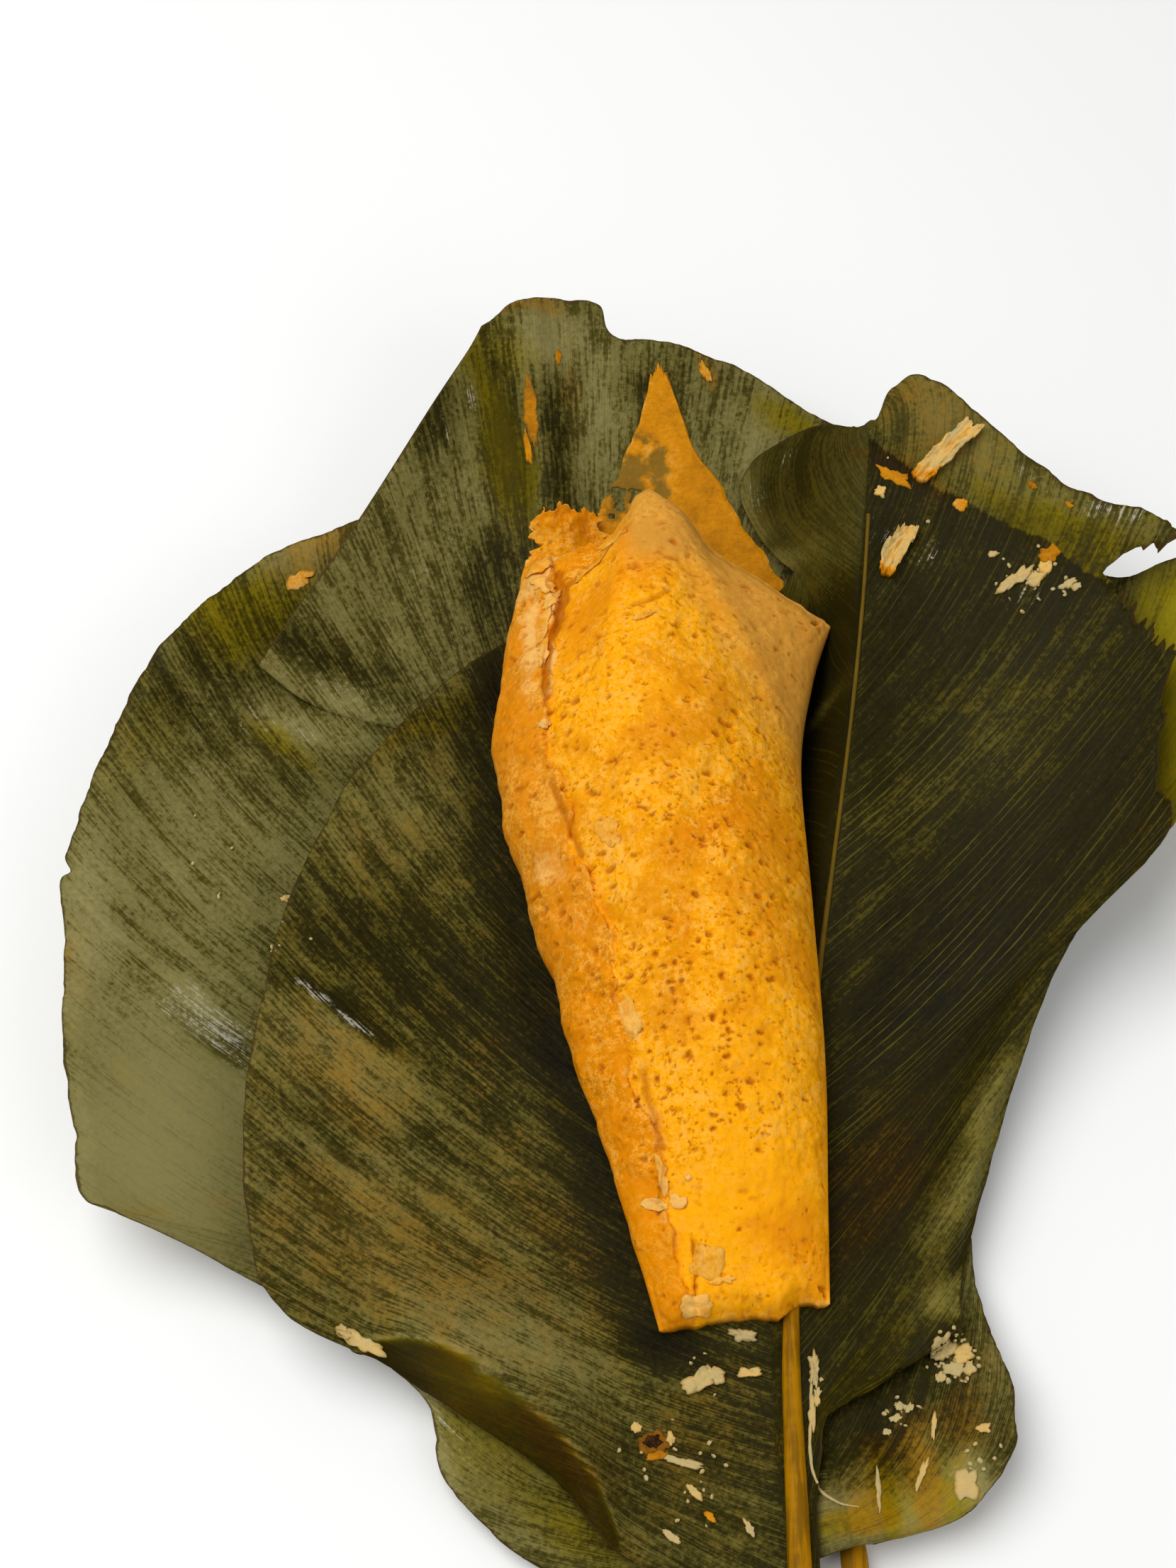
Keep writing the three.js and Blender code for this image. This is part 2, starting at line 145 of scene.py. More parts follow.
def noise(x, y, size, seed):
    """Smooth noise from -1 to 1, with bumps about as wide as size."""
    x, y = np.broadcast_arrays(np.asarray(x, float) / size, np.asarray(y, float) / size)
    column = np.floor(x).astype(np.int64)
    row = np.floor(y).astype(np.int64)
    across = smoothstep(x - column, 0, 1)
    along = smoothstep(y - row, 0, 1)
    near = lerp(value_at(column, row, seed), value_at(column + 1, row, seed), across)
    far = lerp(value_at(column, row + 1, seed), value_at(column + 1, row + 1, seed), across)
    return 2 * lerp(near, far, along) - 1


def rough(x, y, size, seed, layers=4):
    """Noise in several layers, each half as wide and half as high as the one before."""
    layered = 0
    for layer in range(layers):
        layered = layered + noise(x, y, size / 2**layer, seed + layer) / 2**layer
    return layered / 1.5


class Curve:
    """Smooth curve through points, walked by the share of its length."""

    def __init__(self, points):
        points = np.array(points, float)
        before = 2 * points[0] - points[1]
        after = 2 * points[-1] - points[-2]
        knots = np.vstack([before, points, after])
        slopes = (knots[2:] - knots[:-2]) / 2
        t = np.linspace(0, 1, CURVE_STEPS, endpoint=False)[:, None]
        spans = []
        for i in range(len(points) - 1):
            start, end = points[i], points[i + 1]
            bend = 3 * (end - start) - 2 * slopes[i] - slopes[i + 1]
            twist = 2 * (start - end) + slopes[i] + slopes[i + 1]
            spans.append(start + slopes[i] * t + bend * t**2 + twist * t**3)
        self.line = np.vstack([*spans, points[-1:]])
        run = np.cumsum(np.linalg.norm(np.diff(self.line, axis=0), axis=1))
        self.shares = np.concatenate([[0], run]) / run[-1]
        self.length = run[-1]

    def at(self, share):
        return np.stack([np.interp(share, self.shares, axis) for axis in self.line.T], axis=-1)


# The shallow dish that the stacked leaves form
DISH = {
    "x": 4, "left": 106, "right": 92, "back": 116, "front": 128, "flat": 0.4, "bend": 1.8,
    "rise_left": 46, "rise_right": 72, "rise_back": 77, "rise_front": 7,
}

# Leaves: each of their looks is a pair, for the left half and the right half
OUTER_LEAF = {
    "grid": (640, 68),
    "slant": 1.8,
    "curl": 0.1,
    "ragged": 0.6,
    "halves": 0.1,
    "looks": {"lined": (0.25, 0.5), "tone": (0.47, 0.44), "smooth": (0.3, 0.3)},
    "lifted": (1.5, 5),
    "fold_waver": {"height": 1.5, "size": 9, "seed": 21},
    "midrib": Curve([[27, -110], [20, -60], [10, 0], [4, 92]]),
    "left": Curve([
        [24, -111], [0, -116], [-20, -113], [-37, -100], [-43, -84], [-75, -66], [-89, -60.5],
        [-95, -58.3], [-97.5, -50], [-101, -25], [-103, 0], [-98, 26], [-86, 51], [-58, 73], [0, 95],
    ]),
    "right": Curve([
        [30, -110], [47, -104], [53, -90], [49, -64], [54, -34], [72, -6], [91, 12], [97, 30],
        [93, 52], [80, 55], [62, 70], [8, 95],
    ]),
    "ripple": {"height": 1.6, "count": 9, "from_x": 76, "to_x": 100},
    "hump": {"height": 3.9, "x": 28, "width": 5.5, "full": -104, "end": -92},
    "nick": {"depth": 1.6, "y": -1.2, "width": 1.2},
    "folds": [
        ([[-97, 17], [-84, 22], [-72, 25]], 1.5, 3), ([[-92, 33], [-83, 37], [-77, 38]], 1.7, 2.5),
        ([[-101, -8], [-88, -1], [-76, 3]], 1.1, 3.5), ([[-90, 42], [-84, 44], [-80, 47]], 1.2, 2.2),
    ],
}

BACK_LEAF = {
    "grid": (160, 270),
    "halves": 0.1,
    "looks": {"lined": (0.1, 0.1), "tone": (0.5, 0.5), "smooth": (0.25, 0.25)},
    "near_drop": {"depth": 1.0, "share": 0.12},
    "frayed": {"height": 0.5, "size": 5, "seed": 31, "start": 0.93},
    "left": Curve([[-74, 43], [-65, 58], [-46, 89], [-34, 106]]),
    "right": Curve([[42, 34], [46, 62], [38, 91]]),
    "near": Curve([[-74, 43], [-64, 38], [-45, 35], [-15, 27], [15, 25], [42, 34]]),
    "far": Curve([
        [-34, 106], [-27, 110], [-19, 112.5], [-12, 112.5], [-9, 108], [4, 107], [17, 102],
        [31, 93], [38, 91],
    ]),
    "edge": {"lift": 2.5, "share": 0.14},
    "roll": {"height": 4.5, "width": 5.5, "x": -19, "lean": -0.175, "y": 70, "start": 58, "full": 82},
    "fan": {"x": -11, "y": -14, "reach": 100, "number": 80.0},
}

INNER_LEAF = {
    "grid": (560, 84),
    "slant": 1.6,
    "curl": 0.05,
    "ragged": 0.35,
    "halves": 0.06,
    "looks": {"tone": (0.42, 0.25), "smooth": (0.25, 0.4), "glow": (0.24, 0.32), "stain": (0.2, 0.05)},
    "lines": {"left": 0.25, "right": 1.0, "fade": 0.65, "start": 5, "end": 45},
    "midrib": {"base": -122, "tip": 80, "x": 18.5, "shift": 18.5, "start": -90, "end": 85},
    "right_fan": {"y": -93, "full_at": 0.14},
    "left_spread": ([0, 0.5, 0.85, 1], [0, 0.74, 0.92, 1]),
    "torn_run": {"ragged": 0.7, "pace": 2.3, "along": (0.5, 0.56, 0.74, 0.8)},
    "left": Curve([
        [13, -122], [-9, -111], [-20, -99], [-42, -85], [-62, -76], [-69, -60], [-70, -35],
        [-66, -5], [-53, 27], [-30, 53], [0, 60], [24, 62], [19, 73], [15, 82], [19, 88],
        [27, 86], [35, 79],
    ]),
    "right": Curve([
        [21, -122], [22.2, -101], [23.2, -92], [26, -86.5], [31, -83.5], [45, -77], [47, -66], [58, -34],
        [68, -13], [83, 1], [83, 16], [88, 50], [71, 65], [49, 85], [41, 85], [38, 80],
    ]),
    "torn_away": [[76, 49], [79, 51.5], [83, 52], [95, 50], [95, 30], [84.5, 33], [80, 42]],
    "tear": {"step": 0.8, "teeth": 0.5, "seed": 5, "snap": 0.6, "fringe": (0.2, 0.9), "scuff_and_sheen": 0.4},
    "lobe": [[28, 80], [37.4, 76.6], [49.7, 67.2], [58, 62.2], [67.1, 56.8], [75.4, 47.8], [90, 38]],
    "lobe_edge": {"slope": 0.8, "waver": 0.7, "size": 6, "seed": 41},
    "lip": {"height": 0.5, "at": 0.5, "width": 0.9},
    "far_left": {"start": 44, "full": 56, "smooth": 0.7},
    "pudding_shade": {"depth": 0.2, "near": 2, "far": 10},
    "wall_shade": {"depth": 0.24, "smooth": 0.85, "far": -14, "near": -8, "along": (-72, -55, 48, 60)},
    "crest": {"height": 22, "reach": 50, "start": -45, "end": 60},
    "rim": {"lift": 10, "start": -70, "end": 0},
    "wall": {"width": 9, "far_width": 20, "start": 40, "end": 65},
    "left_rise": {"height": 6, "from_x": 15, "to_x": 70, "fade": 20, "end": 60},
    "flap": {
        "height": 7, "reach": 22, "margin_end": 0.35, "far": -60, "left": (-51, -40), "right": (-18, -7),
        "edge": (0.02, 0.2), "turned": 0.06, "tone": 0.32, "shade": 0.1, "shade_x": (34, 42),
        "glow": 0.9, "stain": 0.4, "bend_highlight_width": 0.5, "bend_highlight": 0.14,
        "bend": [
            [-52, -79.5], [-42, -80], [-35, -81], [-28.6, -85.5], [-18.3, -93.5], [-12.5, -101], [-9, -108.5],
            [-6, -112],
        ],
    },
    "strip": {"height": 4.5, "start": 0.16, "end": 0.58, "foot": 0.45, "crease": 0.86},
    "ripple": {"height": 1.4, "count": 8, "start": 0.24, "end": 0.64},
}

PUDDING = {
    "left": Curve([
        [-2.5, -76, 6], [-5.5, -66, 8], [-12, -45, 11], [-20, -20, 13], [-28, 8, 14],
        [-30.5, 26, 15], [-29, 45, 17], [-25, 62, 21],
    ]),
    "right": Curve([
        [25.2, -73.5, 6], [25.5, -56, 8], [26, -32, 10], [25, -6, 12], [24, 22, 13],
        [26.5, 38, 16], [30, 48.5, 19],
    ]),
    "near": Curve([[-2.5, -76, 6], [12, -76, 6], [25.2, -73.5, 6]]),
    "far": Curve([
        [-25, 62, 21], [-15, 62.8, 22], [-10, 63, 24.5], [-7, 65.3, 27], [-3.5, 68.3, 29.5], [3, 65, 28],
        [9, 59, 25], [20, 53, 22], [30, 48.5, 19],
    ]),
    "sink": 3,
    "gap": 0.3,
    "side_gather": 0.55,
    "under_spread": 5,
    "crown": {"front": 5, "middle": 17, "back": 9, "full_at": 0.55, "fall_from": 0.72},
    "rounding": {"front": 0.035, "back": 0.07, "blunt": 0.3, "over": (2.2, 0.55), "under": (3, 0.5)},
    "seam": {"step": 1.3, "x": -21, "lean": 0.25, "bend_y": 22, "waver": 0.8, "waver_length": 5},
    "ridge": {"height": 2, "width": 8, "x": 8.6, "lean": -0.17, "start": -30, "full": 10},
    "groove": {
        "depth": 1.3, "width": 5, "x": 5.2, "lean": 0.165, "start": -60, "full": -35, "fade": 0, "end": 20,
    },
    "facet": {"height": 1.2, "width": 3.5, "x": 7, "lean": 0.55, "y": 52},
    "notch": {"depth": 3.5, "x": -14, "y": 61, "width": 6, "length": 4},
    "imprint": {"height": 0.02, "x": 0.62, "y": 0.78, "spacing": 1.7},
    "front_x": [-3, 3, 8, 12, 16.5, 20, 25],
    "front_tear": [-0.6, 0.3, 1.2, 1.8, 0.5, 2.2, 1.2],
}

# Cracks in the pudding: points in plan, half width and depth
CRACKS = [
    ([[-19.5, 56], [-18, 49], [-20, 43], [-21.5, 38], [-21.2, 29]], 0.6, 2.0),
    ([[-21, 52], [-16, 53], [-12, 57]], 0.5, 1.2),
    ([[-6, 41], [-3, 42.5], [0, 45]], 0.4, 0.8),
    ([[-20, 12], [-17.5, 4], [-15, -2]], 0.5, 1.0),
    ([[-5, -38], [-3.5, -44], [-2, -50]], 0.6, 0.8),
    ([[2.5, -64], [3.5, -68], [3, -72]], 0.4, 0.9),
]

# Open pores: where they are, how long and how deep for their width, how few are large, how they
# crowd, and how the smooth skin fills all but a few
PORES = {
    "seed": 7, "x": (-30, 28), "y": (-75, 62), "stretch": (0.9, 1.7), "depth": 1.4,
    "smallest": 0.3, "rarity": 5, "share": 0.55, "crowding": 0.55, "crowd_size": 11,
    "skin_fill": 0.75, "always_open": 0.12,
}

# Pudding that stuck to the leaves: the two long sides of each patch, in plan
STUCK_SKIN = {
    "grid": (110, 80), "ragged": 0.35, "seed": 81, "thickness": (0.55, 0.25), "thinnest": 0.15,
    "left": Curve([[-18, 70], [-13, 78], [-8, 86], [-4, 94], [-1.2, 106]]),
    "right": Curve([[24, 61.5], [17.6, 73], [12.5, 82], [6, 91], [-0.4, 106]]),
}
TORN_FLAP = {
    "grid": (44, 80), "ragged": 0.9, "seed": 91, "gap": 0.5, "stand": 1.6, "lean": 1.2, "sink": 0.4,
    "thickness": 1.4, "thinnest": 0.25,
    "left": Curve([[-25, 66.5], [-24, 73], [-22, 78]]),
    "right": Curve([[-9.5, 67.5], [-10.5, 74], [-13, 78]]),
}
RESIDUE = {"height": 1.3, "curl": 1.3, "fibres": 0.55, "thickness": (1.6, 0.5)}
RESIDUE_STRIP = {
    "grid": (80, 30), "ragged": 0.35, "seed": 101,
    "left": Curve([[43.2, 69], [49, 74.6], [54.2, 78.6]]),
    "right": Curve([[46.6, 67.8], [52.2, 72.8], [57.4, 76.6]]),
}
RESIDUE_SCRAP = {
    "grid": (80, 30), "ragged": 0.35, "seed": 111,
    "left": Curve([[37.5, 53], [39, 58], [43, 62]]),
    "right": Curve([[40, 52], [43, 57], [45.5, 61]]),
}

# Stalks: round, thinning along the midrib
STALK = {
    "radius": 2.1, "tip_radius": 0.35, "end": -150, "unevenness": 0.25, "bump_scale": 260.0,
    "sharp_angle": 50,
}
INNER_STALK = {"steps": 160, "thin_from": 0.0, "thin_to": 0.8, "tip_gap": 16, "overlap": 10, "lift": 0.5}
OUTER_STALK = {"steps": 50, "end_x": 30, "root_x": 26.5, "root_y": -98, "thin_from": 0.75}
THREAD = {
    "radius": 0.28, "steps": 60, "sides": 8, "unevenness": 0.2, "lift": 0.1,
    "path": Curve([[21.8, -83], [21.4, -90], [21, -96], [22, -100.5], [25, -103.5], [28, -104.5]]),
}

# Marks on the leaves: plan place, half length, half width, turn in degrees and strength; glow marks are
# painted light through the leaf, some pale and scuff marks painted sheen
OUTER_MARKS = {
    "pale": [
        (-84, -45, 32, 24, 88, 0.28), (-98, -10, 24, 5, 88, 0.26), (-84, 0, 24, 20, 80, 0.14),
        (-66, 34, 16, 4, -8, 0.2), (-39, -92, 16, 4, -68, 0.34), (-24, -108, 16, 4, -20, 0.12),
        (46, -102, 4, 5, 0, 0.4), (51, -80, 4, 18, 0, 0.14), (92, 32, 28, 14, 80, 0.44),
        (36, -105, 18, 6, 10, 0.33), (38, -98, 3, 9, 10, 0.2), (29, -100, 2.5, 7, 5, 0.12),
        (-65, 67, 10, 6, 35, 0.22), (-62, 10, 22, 8, -20, 0.12), (-80, -24, 12, 5, -35, 0.32),
        (95, 24, 14, 7, 80, 0.5), (-34, -98, 14, 8, -55, 0.1),
    ],
    "dark": [
        (-80, 37, 13, 9, 30, 0.1), (-75, -30, 8, 4, -30, 0.2), (31, -91, 14, 6, 35, 0.2),
        (50, -88, 4, 14, 0, 0.1),
    ],
    "glow": [
        (-76, 52, 14, 9, 35, 0.9), (-70, 30, 8, 3, -30, 0.6), (90, 30, 32, 15, 80, 1.0),
        (32, -102, 3.5, 8, 5, 0.9), (44, -103, 4, 5, 0, 0.6), (25, -106, 8, 3, 10, 0.7),
        (36, -100, 14, 9, 20, 0.55), (-30, -96, 16, 8, -50, 0.5), (-18, -106, 14, 6, -20, 0.6),
        (66, 66, 20, 8, -30, 0.7), (-92, 30, 18, 6, 65, 0.35), (-84, -40, 40, 24, 88, 0.1),
    ],
    "stain": [
        (-65, 67, 10, 6, 35, 0.8), (38.5, -98, 3, 10, 8, 1.2), (36, -94, 9, 4, 25, 1.0),
        (29, -105, 6, 3, 10, 1.1), (45, -92, 4, 8, 0, 0.8), (50, -90, 5, 14, 0, 0.35),
        (-97, 26, 12, 2, 70, 0.4), (-101, -12, 12, 1.6, 88, 0.4), (-90, -60, 20, 1.5, 15, 0.4),
        (30, -103, 7, 6, 0, 0.6),
    ],
    "scuff_and_sheen": [
        (-80, -25, 13, 6, -35, 0.64), (-73, -31, 8, 3, -35, 0.4), (-84, 30, 6, 3, -45, 0.4),
        (-72, 34, 14, 5, -12, 0.42), (50, -84, 2, 12, 0, 0.35), (-80, 20, 14, 5, -20, 0.32),
        (-38, -91, 14, 4, -68, 0.5), (45, -101, 4, 5, 0, 0.4),
    ],
    "smooth": [
        (-84, -50, 30, 24, 88, 0.9), (90, 30, 32, 15, 80, 0.6), (36, -105, 16, 7, 10, 0.2),
        (-34, -98, 14, 8, -55, 0.1),
    ],
}
BACK_MARKS = {
    "pale": [
        (-48, 70, 28, 14, 55, 0.06), (-21, 107, 8, 8, 0, 0.22), (-12, 97, 5, 16, 0, 0.16),
        (-60, 41, 14, 4, -15, 0.18), (18, 90, 12, 8, -30, 0.08),
    ],
    "dark": [
        (-62, 47, 14, 4, -22, 0.16), (-21, 88, 2.5, 13, 8, 0.2), (-31, 64, 6, 10, 0, 0.14),
        (-42, 92, 7, 4, 50, 0.16), (-6, 101, 5, 4, 0, 0.12), (-30, 89, 18, 4.6, -70, 0.06),
    ],
    "glow": [(-30, 89, 18, 4.6, -70, 1.0), (-30, 103, 8, 6, 0, 0.6), (26, 93, 12, 3, -30, 0.7)],
    "stain": [(-26, 111, 9, 2, 10, 0.7), (9, 104, 4, 2, -60, 0.7), (-17, 99, 2, 8, 10, 0.35)],
    "scuff_and_sheen": [
        (-37, 96, 4, 1.6, -75, 0.5), (-41, 90, 5, 1.2, -70, 0.5), (-60, 41, 14, 4, -15, 0.42),
        (-48, 62, 18, 9, 50, 0.28), (-21, 104, 6, 8, 0, 0.3), (-30, 52, 8, 5, 0, 0.36),
    ],
    "smooth": [(-30, 89, 18, 4.6, -70, 0.8)],
}
INNER_MARKS = {
    "pale": [
        (-52, 14, 22, 10, 58, 0.12), (-50, -60, 28, 16, -20, 0.12), (-28, -78, 26, 10, -25, 0.19),
        (50, -48, 32, 3.6, 62, 0.32), (43, -71, 6, 5, 0, 0.34), (52, 22, 30, 8, 38, 0.12),
        (52, 78, 14, 7, -40, 0.17), (76, 58, 10, 2.6, -25, 0.1), (62, 68, 14, 5, -40, 0.1),
        (66, -14, 20, 3, 50, 0.08), (-57, -32, 16, 10, -35, 0.2), (46, 57, 5, 4, 30, 0.1),
        # Pale marks at (58, 24) and (28, 35) are painted sheen and a painted reflection on the midrib's wall
        (-29, -86.5, 6, 2.4, -45, 0.2), (58, 24, 16, 11, 40, 0.16), (15, 80, 4, 8, 20, 0.22),
        (21, 67, 7, 3, -35, 0.2), (32, -8, 30, 3, 75, 0.06), (28, 35, 5, 2.4, 20, 0.3),
        (30, -87, 12, 6, 40, 0.1),
    ],
    "dark": [
        (-44, -12, 30, 9, -35, 0.14), (-56, 2, 12, 8, 60, 0.05), (-36, 36, 16, 6, 40, 0.08),
        (6, -81, 14, 4, 0, 0.14), (46, -64, 10, 3, 40, 0.1), (24, 79, 11, 9, 60, 0.08),
        (2, -90, 16, 8, 0, 0.07), (-55, -22, 13, 3, -32, 0.25), (45, -15, 20, 12, 50, 0.1),
    ],
    "glow": [
        (70, 57, 15, 5, -35, 1.0), (58, 66, 12, 3.5, -38, 0.6), (-38, 38, 24, 4, 42, 0.6),
        (30, -86, 14, 7, 40, 0.9), (78, 30, 18, 4, 80, 0.5),
    ],
    "stain": [
        (-55, -34, 22, 12, -35, 0.5), (-62, -27, 7, 6, 0, 0.5), (33, -52, 18, 7, 62, 0.9),
        (2, -96, 20, 13, 0, 0.5), (-18, -97, 9, 2.6, -50, 1.1), (82, 3, 9, 5, 40, 0.4),
        (42, 71, 10, 2, -30, 0.9), (48, 79, 14, 8, -40, 0.5), (-20, -60, 30, 8, -65, 0.4),
        (-45, -64, 34, 18, -20, 0.5),
    ],
    "scuff_and_sheen": [
        # The first two scuff marks are painted sheen along the far lobe's rim
        (77, 59, 10, 2.2, -28, 0.6), (62, 70, 12, 2.2, -38, 0.42), (38, 62, 8, 4, 20, 0.36),
        (-61, -20.5, 6, 1.4, -30, 0.75), (-54, -25.5, 5, 1.3, -28, 0.75), (-66, -8, 2, 1, 0, 0.6),
        (45, 58, 5, 4, 30, 0.45), (63, 48, 6, 2.5, 10, 0.45), (24, 84, 3, 2, 0, 0.45),
        (18, 80, 3, 6, 0, 0.42),
    ],
    "smooth": [(52, 78, 14, 9, -40, 0.6), (22, 74, 14, 14, 0, 0.75), (64, 62, 14, 6, -35, 0.6)],
}

# Marks on the pudding, in the same way
PUDDING_MARKS = {
    "pale": [
        (-11.6, -1, 5, 3, -60, 0.5), (-19, -2, 6, 3.4, -70, 0.6), (-15, -14, 6, 3, -60, 0.5),
        (-7, -30, 6, 2, -70, 0.6), (-23.5, 42, 14, 2.6, 88, 0.75), (-19, 48, 5, 3, 60, 0.7),
        (-3, -48, 6, 1.5, -75, 0.6), (-24, 56, 5, 3, 60, 0.75),
    ],
    "deep": [
        (-11, 44, 14, 7, 80, 0.6), (17, -66, 10, 7, 0, 0.4), (9, 6, 16, 4, 60, 0.6),
        (-13, 57, 7, 4, 10, 1.0), (-1, -68, 8, 4, 80, 0.9), (-26, 12, 24, 3, 80, 0.6),
        (2, -18, 12, 5, 70, 0.4), (-12, -40, 14, 3, -68, 0.6),
    ],
    "bright": [(10, -52, 22, 10, 80, 1.0), (10, -66, 12, 8, 0, 0.8), (-13, 38, 13, 6, 80, 0.8)],
    "wet": [(-11, 44, 12, 8, 80, 0.6)],
    "rugged": [
        (-23, 48, 14, 4, 85, 1.3), (-13, 57, 7, 4, 10, 0.9), (-20, -2, 9, 4, -65, 0.8),
        (-25, 20, 18, 4, 85, 0.7), (-4, -50, 9, 2.5, -75, 0.8), (-11, -26, 10, 3.5, -68, 0.8),
    ],
}

# Scraps on the leaves and on the pudding: plan place, half length, half width, turn in degrees,
# thickness, how far the edge curls up, how square the outline is, and tint from pale to orange
LEAF_SCRAPS = [
    (67.4, 53.9, 1.7, 1.3, 60, 1.2, 0.4, 0.0, 0.9), (61.5, 50.6, 3.3, 1.1, 30, 0.9, 0.5, 0.0, 0.15),
    (65.0, 50.2, 1.9, 1.1, 20, 0.9, 0.4, 0.0, 0.1), (66.6, 51.9, 1.4, 1.0, 70, 0.8, 0.3, 0.0, 0.35),
    (70.2, 48.3, 1.5, 0.7, 20, 0.7, 0.3, 0.0, 0.0), (71.6, 47.6, 0.9, 0.6, 0, 0.6, 0.2, 0.0, 0.0),
    (58.0, 55.5, 1.0, 0.6, 0, 0.5, 0.2, 0.0, 0.05), (52.5, 64.5, 1.1, 0.9, 0, 0.9, 0.2, 0.0, 0.6),
    (3.4, -84.4, 2.6, 1.4, 28, 1.2, 1.2, 0.6, 0.1), (6.0, -83.2, 1.3, 1.7, 70, 1.2, 0.7, 0.3, 0.1),
    (11.9, -82.9, 1.8, 0.8, 5, 0.8, 0.4, 0.3, 0.2), (22.2, -82.5, 3.2, 0.9, 88, 1.3, 0.2, 0.0, 0.1),
    (22.4, -86.8, 1.6, 0.6, 80, 0.8, 0.2, 0.0, 0.15), (-3.8, -93.9, 1.4, 1.2, 0, 0.9, 0.2, 0.0, 1.7),
    (-3.6, -94.2, 2.3, 1.9, 10, 0.3, 0.2, 0.0, 1.45), (21.6, -89.5, 3.4, 0.45, 88, 0.6, 0.2, 0.0, 0.15),
    (-3.2, -96.0, 1.6, 0.7, 10, 0.5, 0.2, 0.0, 0.9), (-6.3, -91.6, 0.9, 0.7, 30, 0.6, 0.2, 0.0, 0.3),
    (-0.9, -93.2, 0.7, 1.0, 0, 0.6, 0.2, 0.0, 0.2), (0.9, -97.0, 3.0, 0.6, -12, 0.4, 0.1, 0.0, 0.0),
    (5.2, -94.0, 0.5, 0.3, 40, 0.4, 0.1, 0.0, 0.0), (-49.4, -80.4, 4.2, 1.1, -25, 0.5, 0.8, 0.0, 0.15),
    (-52.6, -78.7, 1.0, 1.4, 60, 0.5, 0.8, 0.0, 0.1), (2.5, -101.5, 1.8, 0.6, -50, 0.6, 0.3, 0.0, 0.15),
    (5.0, -105.5, 1.2, 0.5, -40, 0.5, 0.2, 0.0, 0.7), (-1.0, -108.5, 1.6, 0.6, -30, 0.5, 0.2, 0.0, 0.1),
    (11.0, -107.0, 1.4, 0.5, -60, 0.5, 0.2, 0.0, 0.1), (43.0, -79.5, 2.2, 1.3, 20, 0.9, 0.6, 0.0, 0.05),
    (46.0, -80.4, 1.8, 1.5, 60, 1.0, 0.7, 0.0, 0.2), (44.4, -82.6, 1.6, 1.0, 0, 0.8, 0.5, 0.0, 0.0),
    (42.3, -83.8, 1.0, 0.8, 40, 0.7, 0.3, 0.0, 0.1), (46.8, -82.6, 1.2, 0.8, 80, 0.8, 0.4, 0.0, 0.1),
    (35.6, -88.2, 0.9, 0.6, 0, 0.6, 0.2, 0.0, 0.0), (37.0, -88.5, 0.8, 0.6, 50, 0.6, 0.2, 0.0, 0.0),
    (34.7, -90.1, 1.1, 0.5, 15, 0.5, 0.2, 0.0, 0.0), (33.3, -92.2, 0.7, 0.5, 0, 0.5, 0.2, 0.0, 0.0),
    (40.6, -91.5, 2.2, 0.4, 80, 0.4, 0.2, 0.0, 0.15), (38.2, -99.0, 3.0, 0.5, 65, 0.4, 0.2, 0.0, 0.15),
    (31.2, -102.0, 3.4, 0.4, 88, 0.3, 0.1, 0.0, 0.05), (48.0, -92.5, 1.0, 0.9, 0, 0.9, 0.2, 0.0, 0.3),
    (44.6, -100.8, 1.8, 2.2, 0, 0.3, 0.2, 0.2, 0.12), (-24.8, 93.0, 5.4, 1.1, -82, 0.3, 0.1, 0.0, 0.85),
    (-25.4, 87.6, 3.2, 0.6, -78, 0.3, 0.1, 0.0, 0.75), (-19.5, 103.0, 1.3, 0.5, 80, 0.3, 0.1, 0.0, 0.8),
    (8.4, 102.4, 2.0, 0.8, -60, 0.4, 0.2, 0.0, 0.5), (-67.2, 61.2, 3.0, 1.3, 42, 0.25, 0.1, 0.0, 0.5),
    (64.8, 66.0, 1.0, 0.5, -40, 0.6, 0.2, 0.0, 0.9), (70.8, 61.6, 0.8, 0.4, -40, 0.5, 0.2, 0.0, 0.9),
    (11.0, -76.9, 2.2, 1.1, -8, 1.2, 0.3, 0.0, 0.0), (41.0, 70.2, 3.4, 1.0, -32, 0.5, 0.2, 0.0, 0.8),
    (38.4, 67.8, 1.2, 0.8, 20, 0.5, 0.3, 0.0, 0.3), (-67.4, 0.6, 1.0, 0.6, 30, 0.4, 0.1, 0.0, 0.1),
]
